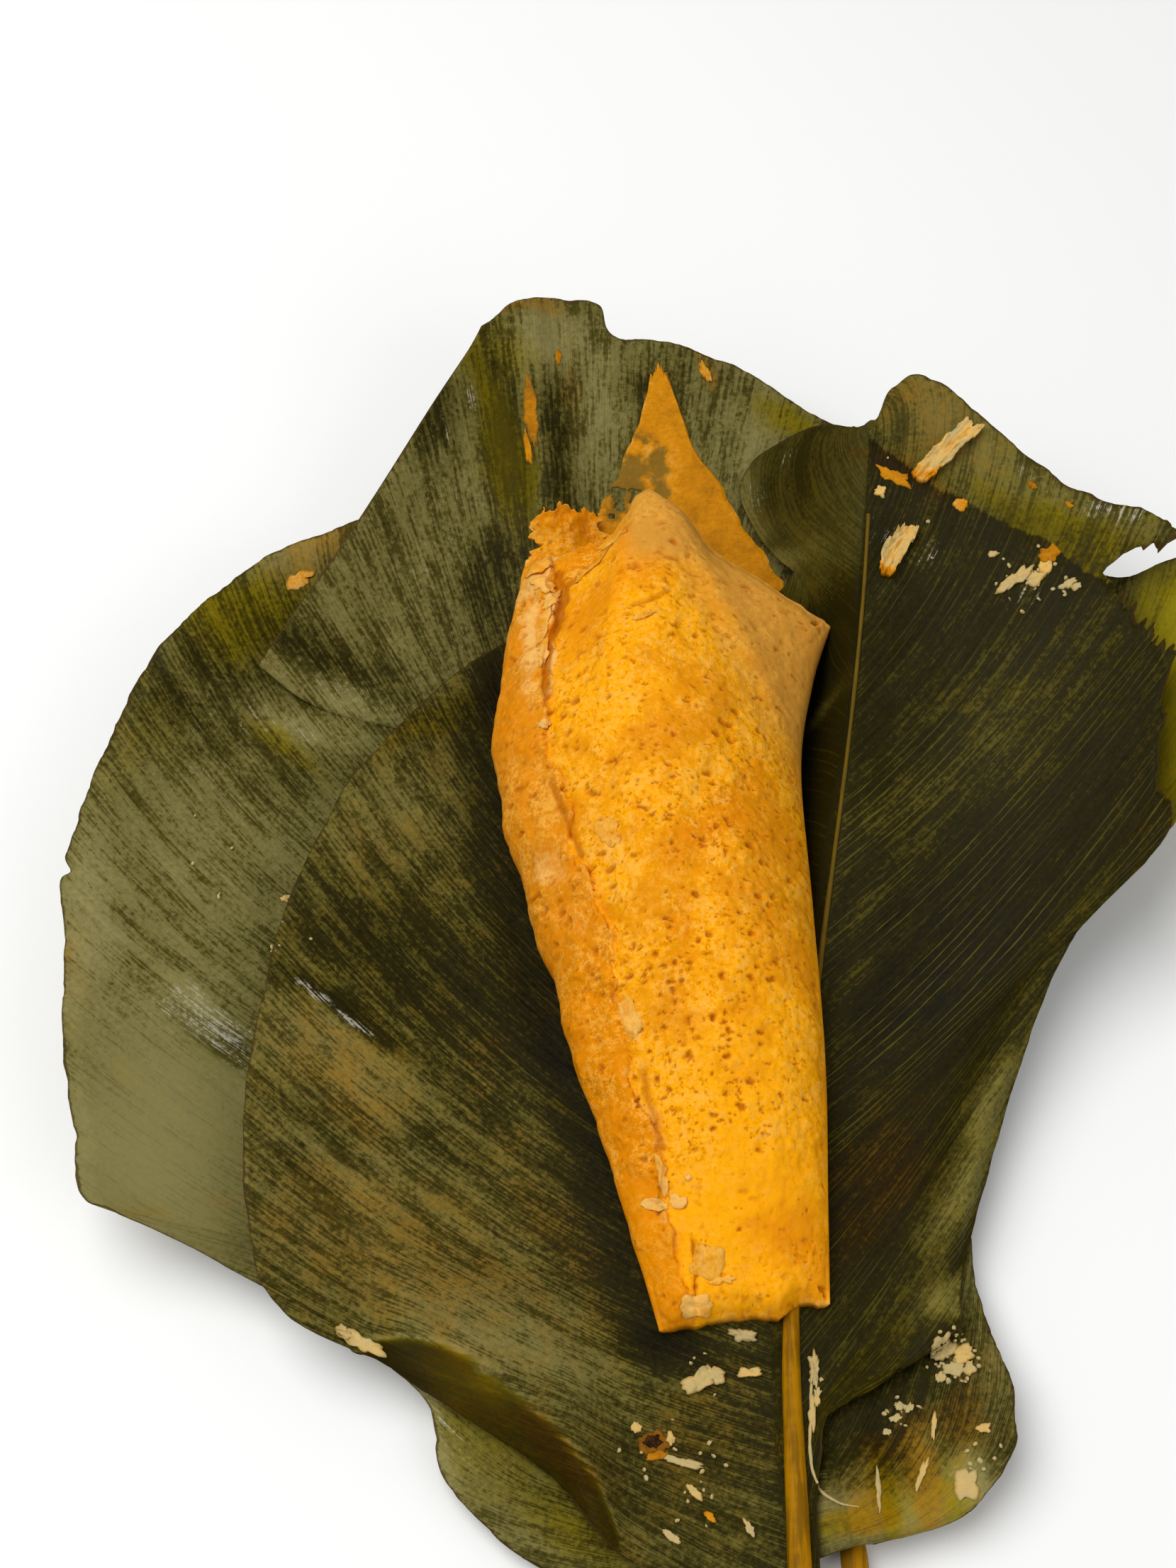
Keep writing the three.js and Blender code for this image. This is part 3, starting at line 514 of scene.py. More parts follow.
PUDDING_SCRAPS = [
    (-22.6, 58.6, 3.0, 1.6, 35, 1.0, 0.6, 0.0, 0.5), (-22.0, 53.4, 2.4, 1.5, -30, 0.8, 0.6, 0.0, 0.35),
    (-20.4, 50.0, 2.6, 1.1, 60, 0.8, 0.5, 0.0, 0.35), (-22.2, 44.6, 4.0, 1.0, 82, 0.6, 0.3, 0.0, 0.4),
    (-21.8, 38.4, 3.0, 0.8, 85, 0.6, 0.3, 0.0, 0.4), (-21.4, 23.2, 1.1, 0.8, 20, 0.8, 0.3, 0.0, 0.0),
    (-4.4, 38.9, 2.2, 0.6, 25, 0.6, 0.5, 0.0, 0.5), (-3.2, -58.2, 1.9, 0.8, -5, 0.6, 0.5, 0.3, 0.15),
    (0.4, -57.9, 1.5, 1.1, -40, 0.7, 0.3, 0.0, 0.05), (2.2, -54.5, 0.5, 0.5, 0, 0.6, 0.1, 0.0, 0.05),
    (-2.0, -54.0, 3.0, 0.8, -75, 0.6, 0.3, 0.0, 0.35), (5.2, -67.3, 2.7, 2.4, -12, 0.5, 0.0, 1.0, 0.55),
    (7.6, -69.9, 2.2, 0.6, 8, 0.6, 0.2, 0.0, 0.35), (3.3, -73.7, 2.4, 1.5, 5, 0.7, 0.7, 0.8, 0.3),
    (-7.2, -29.4, 3.0, 1.3, -70, 0.4, 0.0, 0.6, 0.45), (-10.8, 0.5, 3.2, 1.4, -60, 0.4, 0.1, 0.2, 0.5),
    (-13.5, 54.6, 3.0, 0.9, 25, 0.7, 0.4, 0.0, 0.6), (-9.6, 57.4, 2.6, 0.8, 10, 0.7, 0.5, 0.0, 0.6),
]

# Where loose crumbs lie: plan place, radius of the bed and crumbs on each square millimetre
CRUMB_BEDS = [
    (44.5, -81.0, 4.5, 1.1), (36.0, -89.0, 3.0, 0.35), (63.5, 50.5, 6.0, 0.14), (70.0, 48.0, 2.6, 0.5),
    (0.0, -99.0, 10.0, 0.07), (4.5, -83.5, 4.0, 0.25), (45.0, 58.0, 7.0, 0.02), (-64.0, -12.0, 6.0, 0.05),
    (22.5, -84.5, 2.2, 0.5), (48.0, -96.0, 5.0, 0.16), (-82.0, 8.0, 16.0, 0.015), (41.0, 70.0, 4.0, 0.06),
]

# How scraps and crumbs are made
SCRAP = {"seed": 121, "rings": 5, "spokes": 40, "steepest": 0.9, "thinnest": 0.12}
CRUMB = {"seed": 5, "spokes": 16, "lift": 0.15, "edge_crowd": 0.25, "bump_scale": 1500.0, "unevenness": 0.7}

# Stage: floor and lights in metres, the floor's level and the camera in millimetres
FLOOR = {"half": 3.0, "level": -0.2, "roughness": 0.8}
LIGHTS = {"size": 0.8, "key": (-0.35, 0.1, 0.8), "fill": (0.6, -0.5, 0.5)}
CAMERA = {
    "place": (-11.084, -157.1, 379.667), "aim": (-11.084, 44.772, 0.0), "lens": 53.707, "sensor": 36.0,
    "nearest": 0.01,
}


def to_metres(points):
    return (np.asarray(points, float) - PLAN_CENTRE) * MM


def dish_height(x, y):
    left = x < DISH["x"]
    back = y > 0
    across = (x - DISH["x"]) / np.where(left, DISH["left"], DISH["right"])
    along = y / np.where(back, DISH["back"], DISH["front"])
    reach = np.maximum(np.hypot(across, along), TINY)
    side_rise = np.where(left, DISH["rise_left"], DISH["rise_right"])
    end_rise = np.where(back, DISH["rise_back"], DISH["rise_front"])
    rise = (side_rise * across**2 + end_rise * along**2) / reach**2
    return rise * np.maximum(reach - DISH["flat"], 0) ** DISH["bend"]


def leaf_top(layer, x, y):
    return dish_height(x, y) + LEAF_THICKNESS + layer * LAYER


def on_back_leaf(x, y):
    """Top of the back leaf, with the soft roll that runs up it."""
    roll = BACK_LEAF["roll"]
    offset = x - roll["x"] - roll["lean"] * (y - roll["y"])
    lift = roll["height"] * bell(offset, roll["width"]) * smoothstep(y, roll["start"], roll["full"])
    return leaf_top(BACK_LAYER, x, y) + lift


def midrib_x(y):
    midrib = INNER_LEAF["midrib"]
    return midrib["x"] + midrib["shift"] * smoothstep(y, midrib["start"], midrib["end"])


def crest_lift(x, y):
    """How far the inner leaf stands above the stack along its midrib and over its right half."""
    crest, rim, wall = INNER_LEAF["crest"], INNER_LEAF["rim"], INNER_LEAF["wall"]
    offset = x - midrib_x(y)
    crest_height = crest["height"] * smoothstep(y, crest["start"], crest["end"])
    rim_height = rim["lift"] * smoothstep(y, rim["start"], rim["end"])
    slope = lerp(crest_height, rim_height, np.clip(offset / crest["reach"], 0, 1))
    wall_width = lerp(wall["width"], wall["far_width"], smoothstep(y, wall["start"], wall["end"]))
    drop = crest_height * faded(-offset / wall_width, 0, 1)
    return np.where(offset >= 0, slope, drop)


def on_inner_leaf(x, y):
    return leaf_top(INNER_LAYER, x, y) + crest_lift(x, y)


def left_rise(x, y):
    rise = INNER_LEAF["left_rise"]
    return rise["height"] * smoothstep(-x, rise["from_x"], rise["to_x"]) * faded(y, rise["fade"], rise["end"])


def under_pudding(x, y):
    """Height of what the pudding lies on."""
    return np.maximum(on_inner_leaf(x, y) + left_rise(x, y), on_back_leaf(x, y))


def patch_grid(patch, u, v):
    """Points of a patch held by four edge curves: u runs from near to far, v from left to right."""
    near, far = patch["near"], patch["far"]
    u_share = u[..., None]
    v_share = v[..., None]
    sides = lerp(patch["left"].at(u), patch["right"].at(u), v_share)
    ends = lerp(near.at(v), far.at(v), u_share)
    near_line = lerp(near.at(0.0), near.at(1.0), v_share)
    far_line = lerp(far.at(0.0), far.at(1.0), v_share)
    return sides + ends - lerp(near_line, far_line, u_share)


def cells(grid, v_start=-1.0):
    """Grid of u from 0 to 1 down the rows and v from its start to 1 across the columns."""
    rows, columns = grid
    return np.meshgrid(np.linspace(0, 1, rows + 1), np.linspace(v_start, 1, columns + 1), indexing="ij")


def normals_of(points):
    normal = np.cross(np.gradient(points, axis=1), np.gradient(points, axis=0))
    return normal / np.maximum(np.linalg.norm(normal, axis=-1, keepdims=True), TINY)


def marks_at(x, y, spots, seed):
    """Soft uneven marks in plan, from nothing to the strength of each."""
    drift_x = MARK_WAVER * rough(x, y, MARK_WAVER_SIZE, seed)
    drift_y = MARK_WAVER * rough(x, y, MARK_WAVER_SIZE, seed + 50)
    strongest = np.zeros_like(x)
    for centre_x, centre_y, length, width, turn, strength in spots:
        ease_off = min(1.0, min(length, width) / 4)
        offset_x = x + drift_x * ease_off - centre_x
        offset_y = y + drift_y * ease_off - centre_y
        along, across = turned(offset_x, offset_y, -turn)
        reach = (along / length) ** 2 + (across / width) ** 2
        strongest = np.maximum(strongest, strength * np.exp(-(reach**1.2)))
    return strongest


def foot_on(x, y, start, end):
    """Nearest place in plan on the line between two points."""
    (ax, ay), (bx, by) = start, end
    dx, dy = bx - ax, by - ay
    share = np.clip(((x - ax) * dx + (y - ay) * dy) / (dx * dx + dy * dy), 0, 1)
    return ax + share * dx, ay + share * dy


def line_distance(x, y, points):
    """Distance in plan to an open line through points."""
    best = np.full(x.shape, np.inf)
    for start, end in zip(points[:-1], points[1:]):
        foot_x, foot_y = foot_on(x, y, start, end)
        best = np.minimum(best, np.hypot(x - foot_x, y - foot_y))
    return best


def shell_faces(keep):
    """Faces of a thin solid over a grid: both skins of the kept cells and a wall round open sides."""
    rows, columns = keep.shape
    index = np.arange((rows + 1) * (columns + 1)).reshape(rows + 1, columns + 1)
    shift = index.size
    a, b, c, d = cell_corners(index)
    skin = stacked(a, b, c, d)[keep]
    faces = [skin, skin[:, ::-1] + shift]
    padded = np.pad(keep, 1)
    sides = [
        (a, b, padded[:-2, 1:-1]), (b, c, padded[1:-1, 2:]),
        (c, d, padded[2:, 1:-1]), (d, a, padded[1:-1, :-2]),
    ]
    for start, end, neighbour in sides:
        open_side = keep & ~neighbour
        first, last = start[open_side], end[open_side]
        faces.append(stacked(last, first, first + shift, last + shift))
    return np.vstack(faces).tolist()


def add_object(name, mesh):
    piece = bpy.data.objects.new(name, mesh)
    bpy.context.scene.collection.objects.link(piece)
    return piece


def mesh_piece(name, points, faces, masks, material):
    """Object from points in millimetres, with its masks as attributes; unused points are dropped."""
    points = points.reshape(-1, 3)
    used = np.unique(np.concatenate([np.asarray(face) for face in faces]))
    renumber = np.zeros(len(points), np.int64)
    renumber[used] = np.arange(len(used))
    mesh = bpy.data.meshes.new(name)
    mesh.from_pydata(to_metres(points[used]).tolist(), [], [renumber[face].tolist() for face in faces])
    for mask, values in masks.items():
        values = np.asarray(values, np.float32)
        vector = values.ndim > 1 and values.shape[-1] == 3
        flat = values.reshape(-1, 3)[used] if vector else values.reshape(-1)[used]
        attribute = mesh.attributes.new(mask, "FLOAT_VECTOR" if vector else "FLOAT", "POINT")
        attribute.data.foreach_set("vector" if vector else "value", flat.ravel())
    mesh.polygons.foreach_set("use_smooth", np.ones(len(mesh.polygons), bool))
    mesh.materials.append(material)
    mesh.update()
    return add_object(name, mesh)


def shell_piece(name, top, under, keep, masks, material):
    """Thin solid between two grids of points, with the same masks on both skins."""
    doubled = {mask: np.stack([values, values]) for mask, values in masks.items()}
    return mesh_piece(name, np.stack([top, under]), shell_faces(keep), doubled, material)


def stand_for(piece, slot, *nodes):
    """Hand a finished piece to the part: it rides on it and stands for the named solids."""
    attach(piece, "root")
    if nodes:
        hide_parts(*nodes)
    PIECES[piece.name] = piece
    return piece


class Ground:
    """What a small piece lies on, felt for from above."""

    def __init__(self, *names):
        corners = []
        faces = []
        for name in names:
            mesh = PIECES[name].data
            shift = len(corners)
            corners.extend(vertex.co.copy() for vertex in mesh.vertices)
            faces.extend([corner + shift for corner in face.vertices] for face in mesh.polygons)
        self.tree = BVHTree.FromPolygons(corners, faces)

    def height(self, x, y):
        """Height of the ground in millimetres at each place."""
        x, y = np.broadcast_arrays(x, y)
        places = to_metres(np.stack([x, y, np.zeros(x.shape)], axis=-1)).reshape(-1, 3)
        return np.reshape([self.feel(place) for place in places], x.shape)

    def feel(self, place):
        hit = self.tree.ray_cast(Vector((place[0], place[1], ABOVE)), DOWN)[0]
        if hit is None:
            hit = self.tree.find_nearest(Vector(place))[0]
        return hit.z / MM


# Node trees

class Value:
    """Output of a node, so that sums and products of nodes are written like plain ones."""

    def __init__(self, tree, socket):
        self.tree = tree
        self.socket = socket

    def __add__(self, other):
        return self.calc("ADD", other)

    def __mul__(self, other):
        return self.calc("MULTIPLY", other)

    def calc(self, operation, other):
        return put(self.tree, "ShaderNodeMath", {0: self, 1: other}, operation=operation)

    def swing(self, amount):
        """Noise from 0 to 1 turned into a swing to both sides of nothing."""
        return self.calc("SUBTRACT", 0.5) * amount

    def ease(self, start, end, low=0.0, high=1.0):
        """Smooth step between two limits."""
        limits = {0: self, 1: start, 2: end, 3: low, 4: high}
        return put(self.tree, "ShaderNodeMapRange", limits, interpolation_type="SMOOTHSTEP")

    def grain(self, scale, detail, roughness=0.55):
        """Noise from 0 to 1 at this place."""
        inputs = {"Vector": self, "Scale": scale, "Detail": detail, "Roughness": roughness}
        return put(self.tree, "ShaderNodeTexNoise", inputs, "Fac")

    def axes(self):
        """Its three numbers, where it is a vector."""
        split = put(self.tree, "ShaderNodeSeparateXYZ", {0: self}).socket.node
        return [Value(self.tree, socket) for socket in split.outputs]

    def mix(self, first, second, blend="MIX"):
        """Colour between two, or the first times the second, by as much as this says."""
        inputs = {0: self, 6: rgba(first), 7: rgba(second)}
        return put(self.tree, "ShaderNodeMix", inputs, 2, data_type="RGBA", blend_type=blend)

    def ramp(self, *steps):
        """Colour ramp from places and colours in order."""
        ramp = put(self.tree, "ShaderNodeValToRGB", {0: self})
        stops = ramp.socket.node.color_ramp.elements
        while len(stops) < len(steps):
            stops.new(1.0)
        for stop, (place, rgb) in zip(stops, steps):
            stop.position = place
            stop.color = rgba(rgb)
        return ramp

    def bump(self, distance, strength):
        inputs = {"Height": self, "Distance": distance, "Strength": strength}
        return put(self.tree, "ShaderNodeBump", inputs, "Normal")


def feed(tree, node, inputs):
    """Link or set inputs of a node."""
    for key, value in inputs.items():
        if isinstance(value, Value):
            tree.links.new(value.socket, node.inputs[key])
        else:
            node.inputs[key].default_value = value


def put(tree, kind, inputs=None, output=0, **settings):
    """Add a node and return one of its outputs."""
    node = tree.nodes.new(kind)
    for key, value in settings.items():
        setattr(node, key, value)
    feed(tree, node, inputs or {})
    return Value(tree, node.outputs[output])


def rgba(value):
    return value if isinstance(value, Value) else (*value, 1.0)


def mask_of(tree, name, output="Fac"):
    return put(tree, "ShaderNodeAttribute", None, output, attribute_name=name)


def place_of(tree):
    return put(tree, "ShaderNodeTexCoord", None, "Object")


def new_material(name):
    material = bpy.data.materials.new(name)
    material.use_nodes = True
    return material, material.node_tree


def dressed(material, inputs):
    """Material with inputs of its shader set or linked."""
    tree = material.node_tree
    feed(tree, tree.nodes["Principled BSDF"], inputs)
    return material


def leaf_material(name, looks):
    """Steamed leaf: streaks and pale threads along the veins, waxy bloom, stains and scuffs, with painted
    sheen, painted shade and painted light coming through it.
    """
    material, tree = new_material(name)
    across, along, side = mask_of(tree, "vein", "Vector").axes()
    place = place_of(tree)

    def lengthwise(across_scale, along_scale, detail, roughness):
        """Noise that is drawn out along the veins."""
        run = {0: across * across_scale, 1: along * along_scale, 2: side}
        return put(tree, "ShaderNodeCombineXYZ", run).grain(1.0, detail, roughness)

    streaks = lengthwise(0.26, 0.03, 6.0, 0.68)
    flecks = lengthwise(1.3, 0.17, 4.0, 0.62)
    threads = lengthwise(3.2, 0.1, 2.0, 0.5)
    clusters = lengthwise(0.14, 0.02, 3.0, 0.6)
    drift = place.grain(48.0, 4.0, 0.6)
    mottle = place.grain(150.0, 6.0, 0.64)
    speckle = place.grain(1200.0, 4.0, 0.65)
    rows = (across + streaks.swing(1.6)).calc("DIVIDE", looks.row_gap / MM / 2).calc("PINGPONG", 1.0)

    calm = mask_of(tree, "smooth").ease(0.0, 1.0, 1.0, 0.2)
    # Painted light: the far lobe is lighter, as if light came through the single leaf
    lobe = (mask_of(tree, "lobe") + flecks.swing(1.6)).ease(-0.25, 0.25)
    shade = mask_of(tree, "tone") + lobe * 0.2
    film = shade * 0.6 + streaks.swing(1.0) + flecks.swing(1.2) + mottle.swing(0.35) + drift.swing(0.15)
    film = (film + rows.swing(0.14) + speckle.swing(0.4)).ease(0.14, 0.38)
    unrest = film.swing(0.2) + streaks.swing(0.4) + mottle.swing(0.22)
    unrest = unrest + drift.swing(0.12) + speckle.swing(0.45)
    fibre = threads.swing(1.0) * calm
    tone = shade + unrest * calm + fibre * 0.26
    base = tone.ramp(
        (0.0, looks.dark_colour), (0.3, looks.deep_colour), (0.48, looks.middle_colour),
        (0.66, looks.light_colour), (0.95, looks.bloom_colour),
    )

    line_place = (across + streaks.swing(2.2)).calc("DIVIDE", looks.vein_gap / MM)
    line = line_place.calc("PINGPONG", 0.5).ease(0.1, 0.03) * flecks.ease(0.32, 0.5)
    line = line * clusters.ease(0.45, 0.58) * mask_of(tree, "lined")
    base = (line * 0.75).mix(base, looks.thread_colour)

    # Painted light: yellow-green where light would come through the leaf
    glow = mask_of(tree, "glow") + drift.swing(0.5) + mottle.swing(0.5) + streaks.swing(0.5)
    base = glow.ease(0.1, 0.8).mix(base, looks.glow_tint, "MULTIPLY")
    stain = mask_of(tree, "stain") + drift.swing(-0.6) + mottle.swing(1.2)
    stain = stain + flecks.swing(0.6) + speckle.swing(0.5)
    base = stain.ease(0.1, 0.9).mix(base, looks.stain_tint, "MULTIPLY")
    # Pale scuffs: part real wear, part painted sheen
    scuff_and_sheen = mask_of(tree, "scuff_and_sheen") + threads.swing(1.3) + speckle.swing(0.9) + flecks.swing(1.0)
    base = scuff_and_sheen.ease(0.55, 0.85, 0.0, 0.7).mix(base, looks.scuff_and_sheen_colour)
    edge = mask_of(tree, "edge") + mottle.swing(1.4) + speckle.swing(0.5)
    base = edge.ease(0.45, 0.1, 0.0, 0.75).mix(base, looks.margin_colour)

    height = line * 0.3 + fibre + flecks.swing(0.6) + film.swing(0.3) + speckle.swing(0.3)
    return dressed(material, {
        "Base Color": base, "Normal": height.bump(0.18 * MM, 0.6),
        "Roughness": tone.ease(0.2, 0.7, 0.4, 0.62), "Specular IOR Level": 0.04,
    })


def pudding_material(looks):
    """Moist crumbly pudding: orange with light grains, pores, tan skin and pale torn edges, with painted
    shade between the crumbs and in the pores and cracks.
    """
    material, tree = new_material("crumbly_pudding")
    place = place_of(tree)
    broad = place.grain(75.0, 4.0, 0.55)
    patchy = place.grain(260.0, 5.0, 0.64)
    crumb = place.grain(1000.0, 5.0, 0.68)
    fine = place.grain(2400.0, 2.0, 0.6)
    skin = mask_of(tree, "skin")
    loose = (broad + patchy.swing(0.6)).ease(0.42, 0.58, 0.35, 1.0) * skin.ease(0.0, 1.0, 1.0, 0.3)

    bright = broad + patchy.swing(0.3) + mask_of(tree, "bright") * 0.3
    base = bright.ease(0.36, 0.64).mix(looks.main_colour, looks.bright_colour)
    deep = mask_of(tree, "deep") + broad.swing(-1.4) + patchy.swing(0.7)
    base = deep.ease(0.05, 0.7, 0.0, 0.85).mix(base, looks.deep_colour)
    tan = mask_of(tree, "tan") + broad.swing(0.5) + patchy.swing(0.5)
    base = tan.ease(0.12, 0.9, 0.0, 0.92).mix(base, looks.tan_colour)
    light = (crumb + patchy.swing(0.5) + fine.swing(0.5)).ease(0.5, 0.58) * (loose * 0.75)
    base = light.mix(base, looks.crumb_colour)
    dim = (crumb + patchy.swing(0.3) + fine.swing(0.3)).ease(0.43, 0.38, 0.0, 0.7) * loose
    base = dim.mix(base, looks.dim_colour)
    pale = mask_of(tree, "pale") + patchy.swing(0.9) + crumb.swing(0.6)
    base = pale.ease(0.3, 0.9, 0.0, 0.85).mix(base, looks.pale_colour)

    cell = put(tree, "ShaderNodeTexVoronoi", {"Vector": place, "Scale": 520.0}, "Distance")
    picked = Value(tree, cell.socket.node.outputs["Color"])
    dot = (cell + crumb.swing(0.9)).ease(0.19, 0.13) * picked.ease(0.4, 0.5)
    crowd = (broad + patchy.swing(0.8)).ease(0.42, 0.58, 0.1, 1.0)
    dot = dot * crowd * skin.ease(0.0, 1.0, 0.9, 0.4)
    # Painted shade: pores, cracks and the dark dots are darkened
    pore = mask_of(tree, "pore").calc("MAXIMUM", dot * 0.6)
    base = (pore * 0.8).mix(base, looks.pore_shade_colour)
    relief = (crumb + fine.swing(0.5)) * loose + patchy.swing(0.5) + dot * -0.6
    return dressed(material, {
        "Base Color": base, "Normal": relief.bump(0.32 * MM, 0.6),
        "Roughness": patchy.ease(0.35, 0.65, 0.5, 0.68), "Specular IOR Level": 0.025,
        "Subsurface Weight": 0.1, "Subsurface Radius": (1.0, 0.4, 0.08), "Subsurface Scale": 1.6 * MM,
    })


def residue_material(looks):
    """Pudding stuck to the leaves: cream to orange by its tint, burnt where the tint is high."""
    material, tree = new_material("stuck_pudding")
    place = place_of(tree)
    patchy = place.grain(300.0, 5.0, 0.62)
    fine = place.grain(1400.0, 4.0, 0.65)
    tint = mask_of(tree, "tint")
    worn = tint + patchy.swing(0.7) + fine.swing(0.4)
    base = worn.ramp(
        (0.0, looks.cream_colour), (0.35, looks.tan_colour), (0.62, looks.orange_colour),
        (1.0, looks.brown_colour),
    )
    thin = mask_of(tree, "thin") + patchy.swing(0.9) + fine.swing(0.4)
    base = thin.ease(0.3, 0.8, 0.0, 0.85).mix(base, looks.film_colour)
    base = (tint + fine.swing(0.5)).ease(1.2, 1.8).mix(base, looks.burnt_colour)
    relief = patchy + fine.swing(0.7)
    return dressed(material, {
        "Base Color": base, "Normal": relief.bump(0.35 * MM, 0.8),
        "Roughness": 0.6, "Specular IOR Level": 0.06,
    })


def stalk_material(looks):
    """Leaf stalk: yellow-olive with darker streaks along it, dark olive up the midrib."""
    material, tree = new_material("leaf_stalk")
    place = place_of(tree)
    streaks = put(tree, "ShaderNodeMapping", {0: place, 3: (900.0, 35.0, 900.0)}).grain(1.0, 4.0, 0.6)
    worn = streaks + place.grain(120.0, 4.0, 0.6).swing(0.8)
    base = worn.ease(0.35, 0.62).mix(looks.dark_colour, looks.light_colour)
    base = place.axes()[1].ease(-0.06, 0.0, 0.0, 0.85).mix(base, looks.midrib_colour)
    return dressed(material, {
        "Base Color": base, "Normal": streaks.bump(0.2 * MM, 0.5),
        "Roughness": 0.5, "Specular IOR Level": 0.04,
    })


# Settings

def in_mm(label, about, size):
    return FloatProperty(name=label, description=about, default=size * MM, unit="LENGTH")


def paint(label, about, rgb):
    """Colour setting. A tint may go above 1."""
    return FloatVectorProperty(name=label, description=about, default=rgb, max=2.0, subtype="COLOR")


class LeafSettings(bpy.types.PropertyGroup):
    margin_thickness: in_mm("Margin thickness", "Thickness of a leaf at its margin", 0.3)
    vein_gap: in_mm("Vein gap", "Distance between two pale veins", 2.1)
    row_gap: in_mm("Row gap", "Distance between two rows of dark flecks", 1.0)
    vein_height: in_mm("Vein height", "How far the veins stand up", 0.07)
    crumple: in_mm("Crumple", "Height of the soft unevenness of a leaf", 0.7)
    dark_colour: paint("Dark", "Wet dark streaks", (0.005, 0.004, 0.0005))
    deep_colour: paint("Deep", "Deep leaf colour", (0.022, 0.018, 0.002))
    middle_colour: paint("Middle", "Main leaf colour", (0.068, 0.057, 0.009))
    light_colour: paint("Light", "Light waxy streaks", (0.152, 0.131, 0.038))
    bloom_colour: paint("Bloom", "Thick waxy bloom", (0.275, 0.243, 0.098))
    thread_colour: paint("Threads", "Pale lines along the veins", (0.1, 0.088, 0.012))
    glow_tint: paint("Glow", "Tint of yellow-green places where light comes through", (1.0, 0.9, 0.05))
    stain_tint: paint("Stain", "Tint of orange-brown stains", (1.2, 0.82, 0.38))
    # White of real scuffs and of painted sheen
    scuff_and_sheen_colour: paint("Scuffs", "White scuffs", (0.44, 0.42, 0.34))
    margin_colour: paint("Margin", "Dry brown margin", (0.05, 0.028, 0.006))


class PuddingSettings(bpy.types.PropertyGroup):
    rows: IntProperty(name="Rows", description="Grid rows along the pudding", default=420, min=20)
    columns: IntProperty(name="Columns", description="Grid columns over its top", default=170, min=20)
    pore_count: IntProperty(name="Pores", description="Open pores in its surface", default=4200, min=0)
    pore_size: in_mm("Largest pore", "Radius of the largest pore", 0.68)
    grain_height: in_mm("Grain", "Height of the crumbly grain", 0.3)
    main_colour: paint("Main", "Main orange", (0.69, 0.245, 0.003))
    bright_colour: paint("Bright", "Bright yellow-orange", (0.9, 0.37, 0.002))
    crumb_colour: paint("Crumbs", "Light crumbs", (0.85, 0.42, 0.055))
    deep_colour: paint("Deep", "Deep orange places", (0.7, 0.22, 0.001))
    dim_colour: paint("Dim", "Shaded places between the crumbs", (0.58, 0.185, 0.003))
    tan_colour: paint("Tan", "Dry tan skin", (0.55, 0.255, 0.036))
    pale_colour: paint("Pale", "Pale torn edges", (0.8, 0.47, 0.13))
    pore_shade_colour: paint("Pore", "Inside of the pores", (0.42, 0.11, 0.002))


class ResidueSettings(bpy.types.PropertyGroup):
    crumb_size: in_mm("Crumb size", "Radius of the largest loose crumb", 0.62)
    cream_colour: paint("Cream", "Dry pale scraps", (0.46, 0.36, 0.16))
    tan_colour: paint("Tan", "Browner scraps", (0.68, 0.42, 0.11))
    orange_colour: paint("Orange", "Fresh orange scraps", (0.6, 0.23, 0.002))
    brown_colour: paint("Brown", "Soaked brown scraps", (0.3, 0.11, 0.002))
    film_colour: paint("Film", "Film so thin that the leaf shows", (0.16, 0.1, 0.012))
    burnt_colour: paint("Burnt", "Burnt spot", (0.012, 0.006, 0.003))


class StalkSettings(bpy.types.PropertyGroup):
    sides: IntProperty(name="Sides", description="Sides of a stalk's round section", default=24, min=6)
    light_colour: paint("Light", "Yellow-olive of the stalk", (0.36, 0.16, 0.001))
    dark_colour: paint("Dark", "Darker streaks", (0.19, 0.085, 0.002))
    midrib_colour: paint("Midrib", "Dark olive of the midrib", (0.085, 0.06, 0.007))


class StageSettings(bpy.types.PropertyGroup):
    floor_colour: paint("Floor", "Plain pale floor", (0.85, 0.85, 0.84))
    key_power: FloatProperty(name="Key light", description="Power of the main light", default=7.0)
    fill_power: FloatProperty(name="Fill light", description="Power of the soft side light", default=2.2)
    sky: FloatProperty(name="Sky", description="Strength of the even light", default=0.38)


class MoiMoiSettings(bpy.types.PropertyGroup):
    leaf: PointerProperty(type=LeafSettings)
    pudding: PointerProperty(type=PuddingSettings)
    residue: PointerProperty(type=ResidueSettings)
    stalk: PointerProperty(type=StalkSettings)
    stage: PointerProperty(type=StageSettings)


# Leaves

def ribbed_plan(leaf, root, u, v, share, jag):
    """Plan of a leaf with a midrib, its margin made ragged, and the length of each vein."""
    edge = np.where((v < 0)[..., None], leaf["left"].at(u), leaf["right"].at(u))
    reach = edge - root
    length = np.maximum(np.linalg.norm(reach, axis=-1), NEAR_NOTHING)
    edge = edge + reach * (jag / length)[..., None]
    return lerp(root, edge, share[..., None]), length


def ragged_margin(u, v, height):
    """Unevenness of a margin along its length."""
    side = np.where(v < 0, 0.0, 500.0)
    run = u * 300 + side
    return height * (rough(run, side, 5, 11) + 1.4 * noise(run, side, 13, 12))


def vein_field(leaf, u, v, share, length):
    """Run across the veins and along them in millimetres, and a number that tells the halves apart."""
    margin = np.where(v < 0, leaf["left"].length, leaf["right"].length)
    across = (u - leaf["curl"] * share**2) * margin
    return stacked(across, share * length, np.where(v < 0, *HALF_NUMBERS))


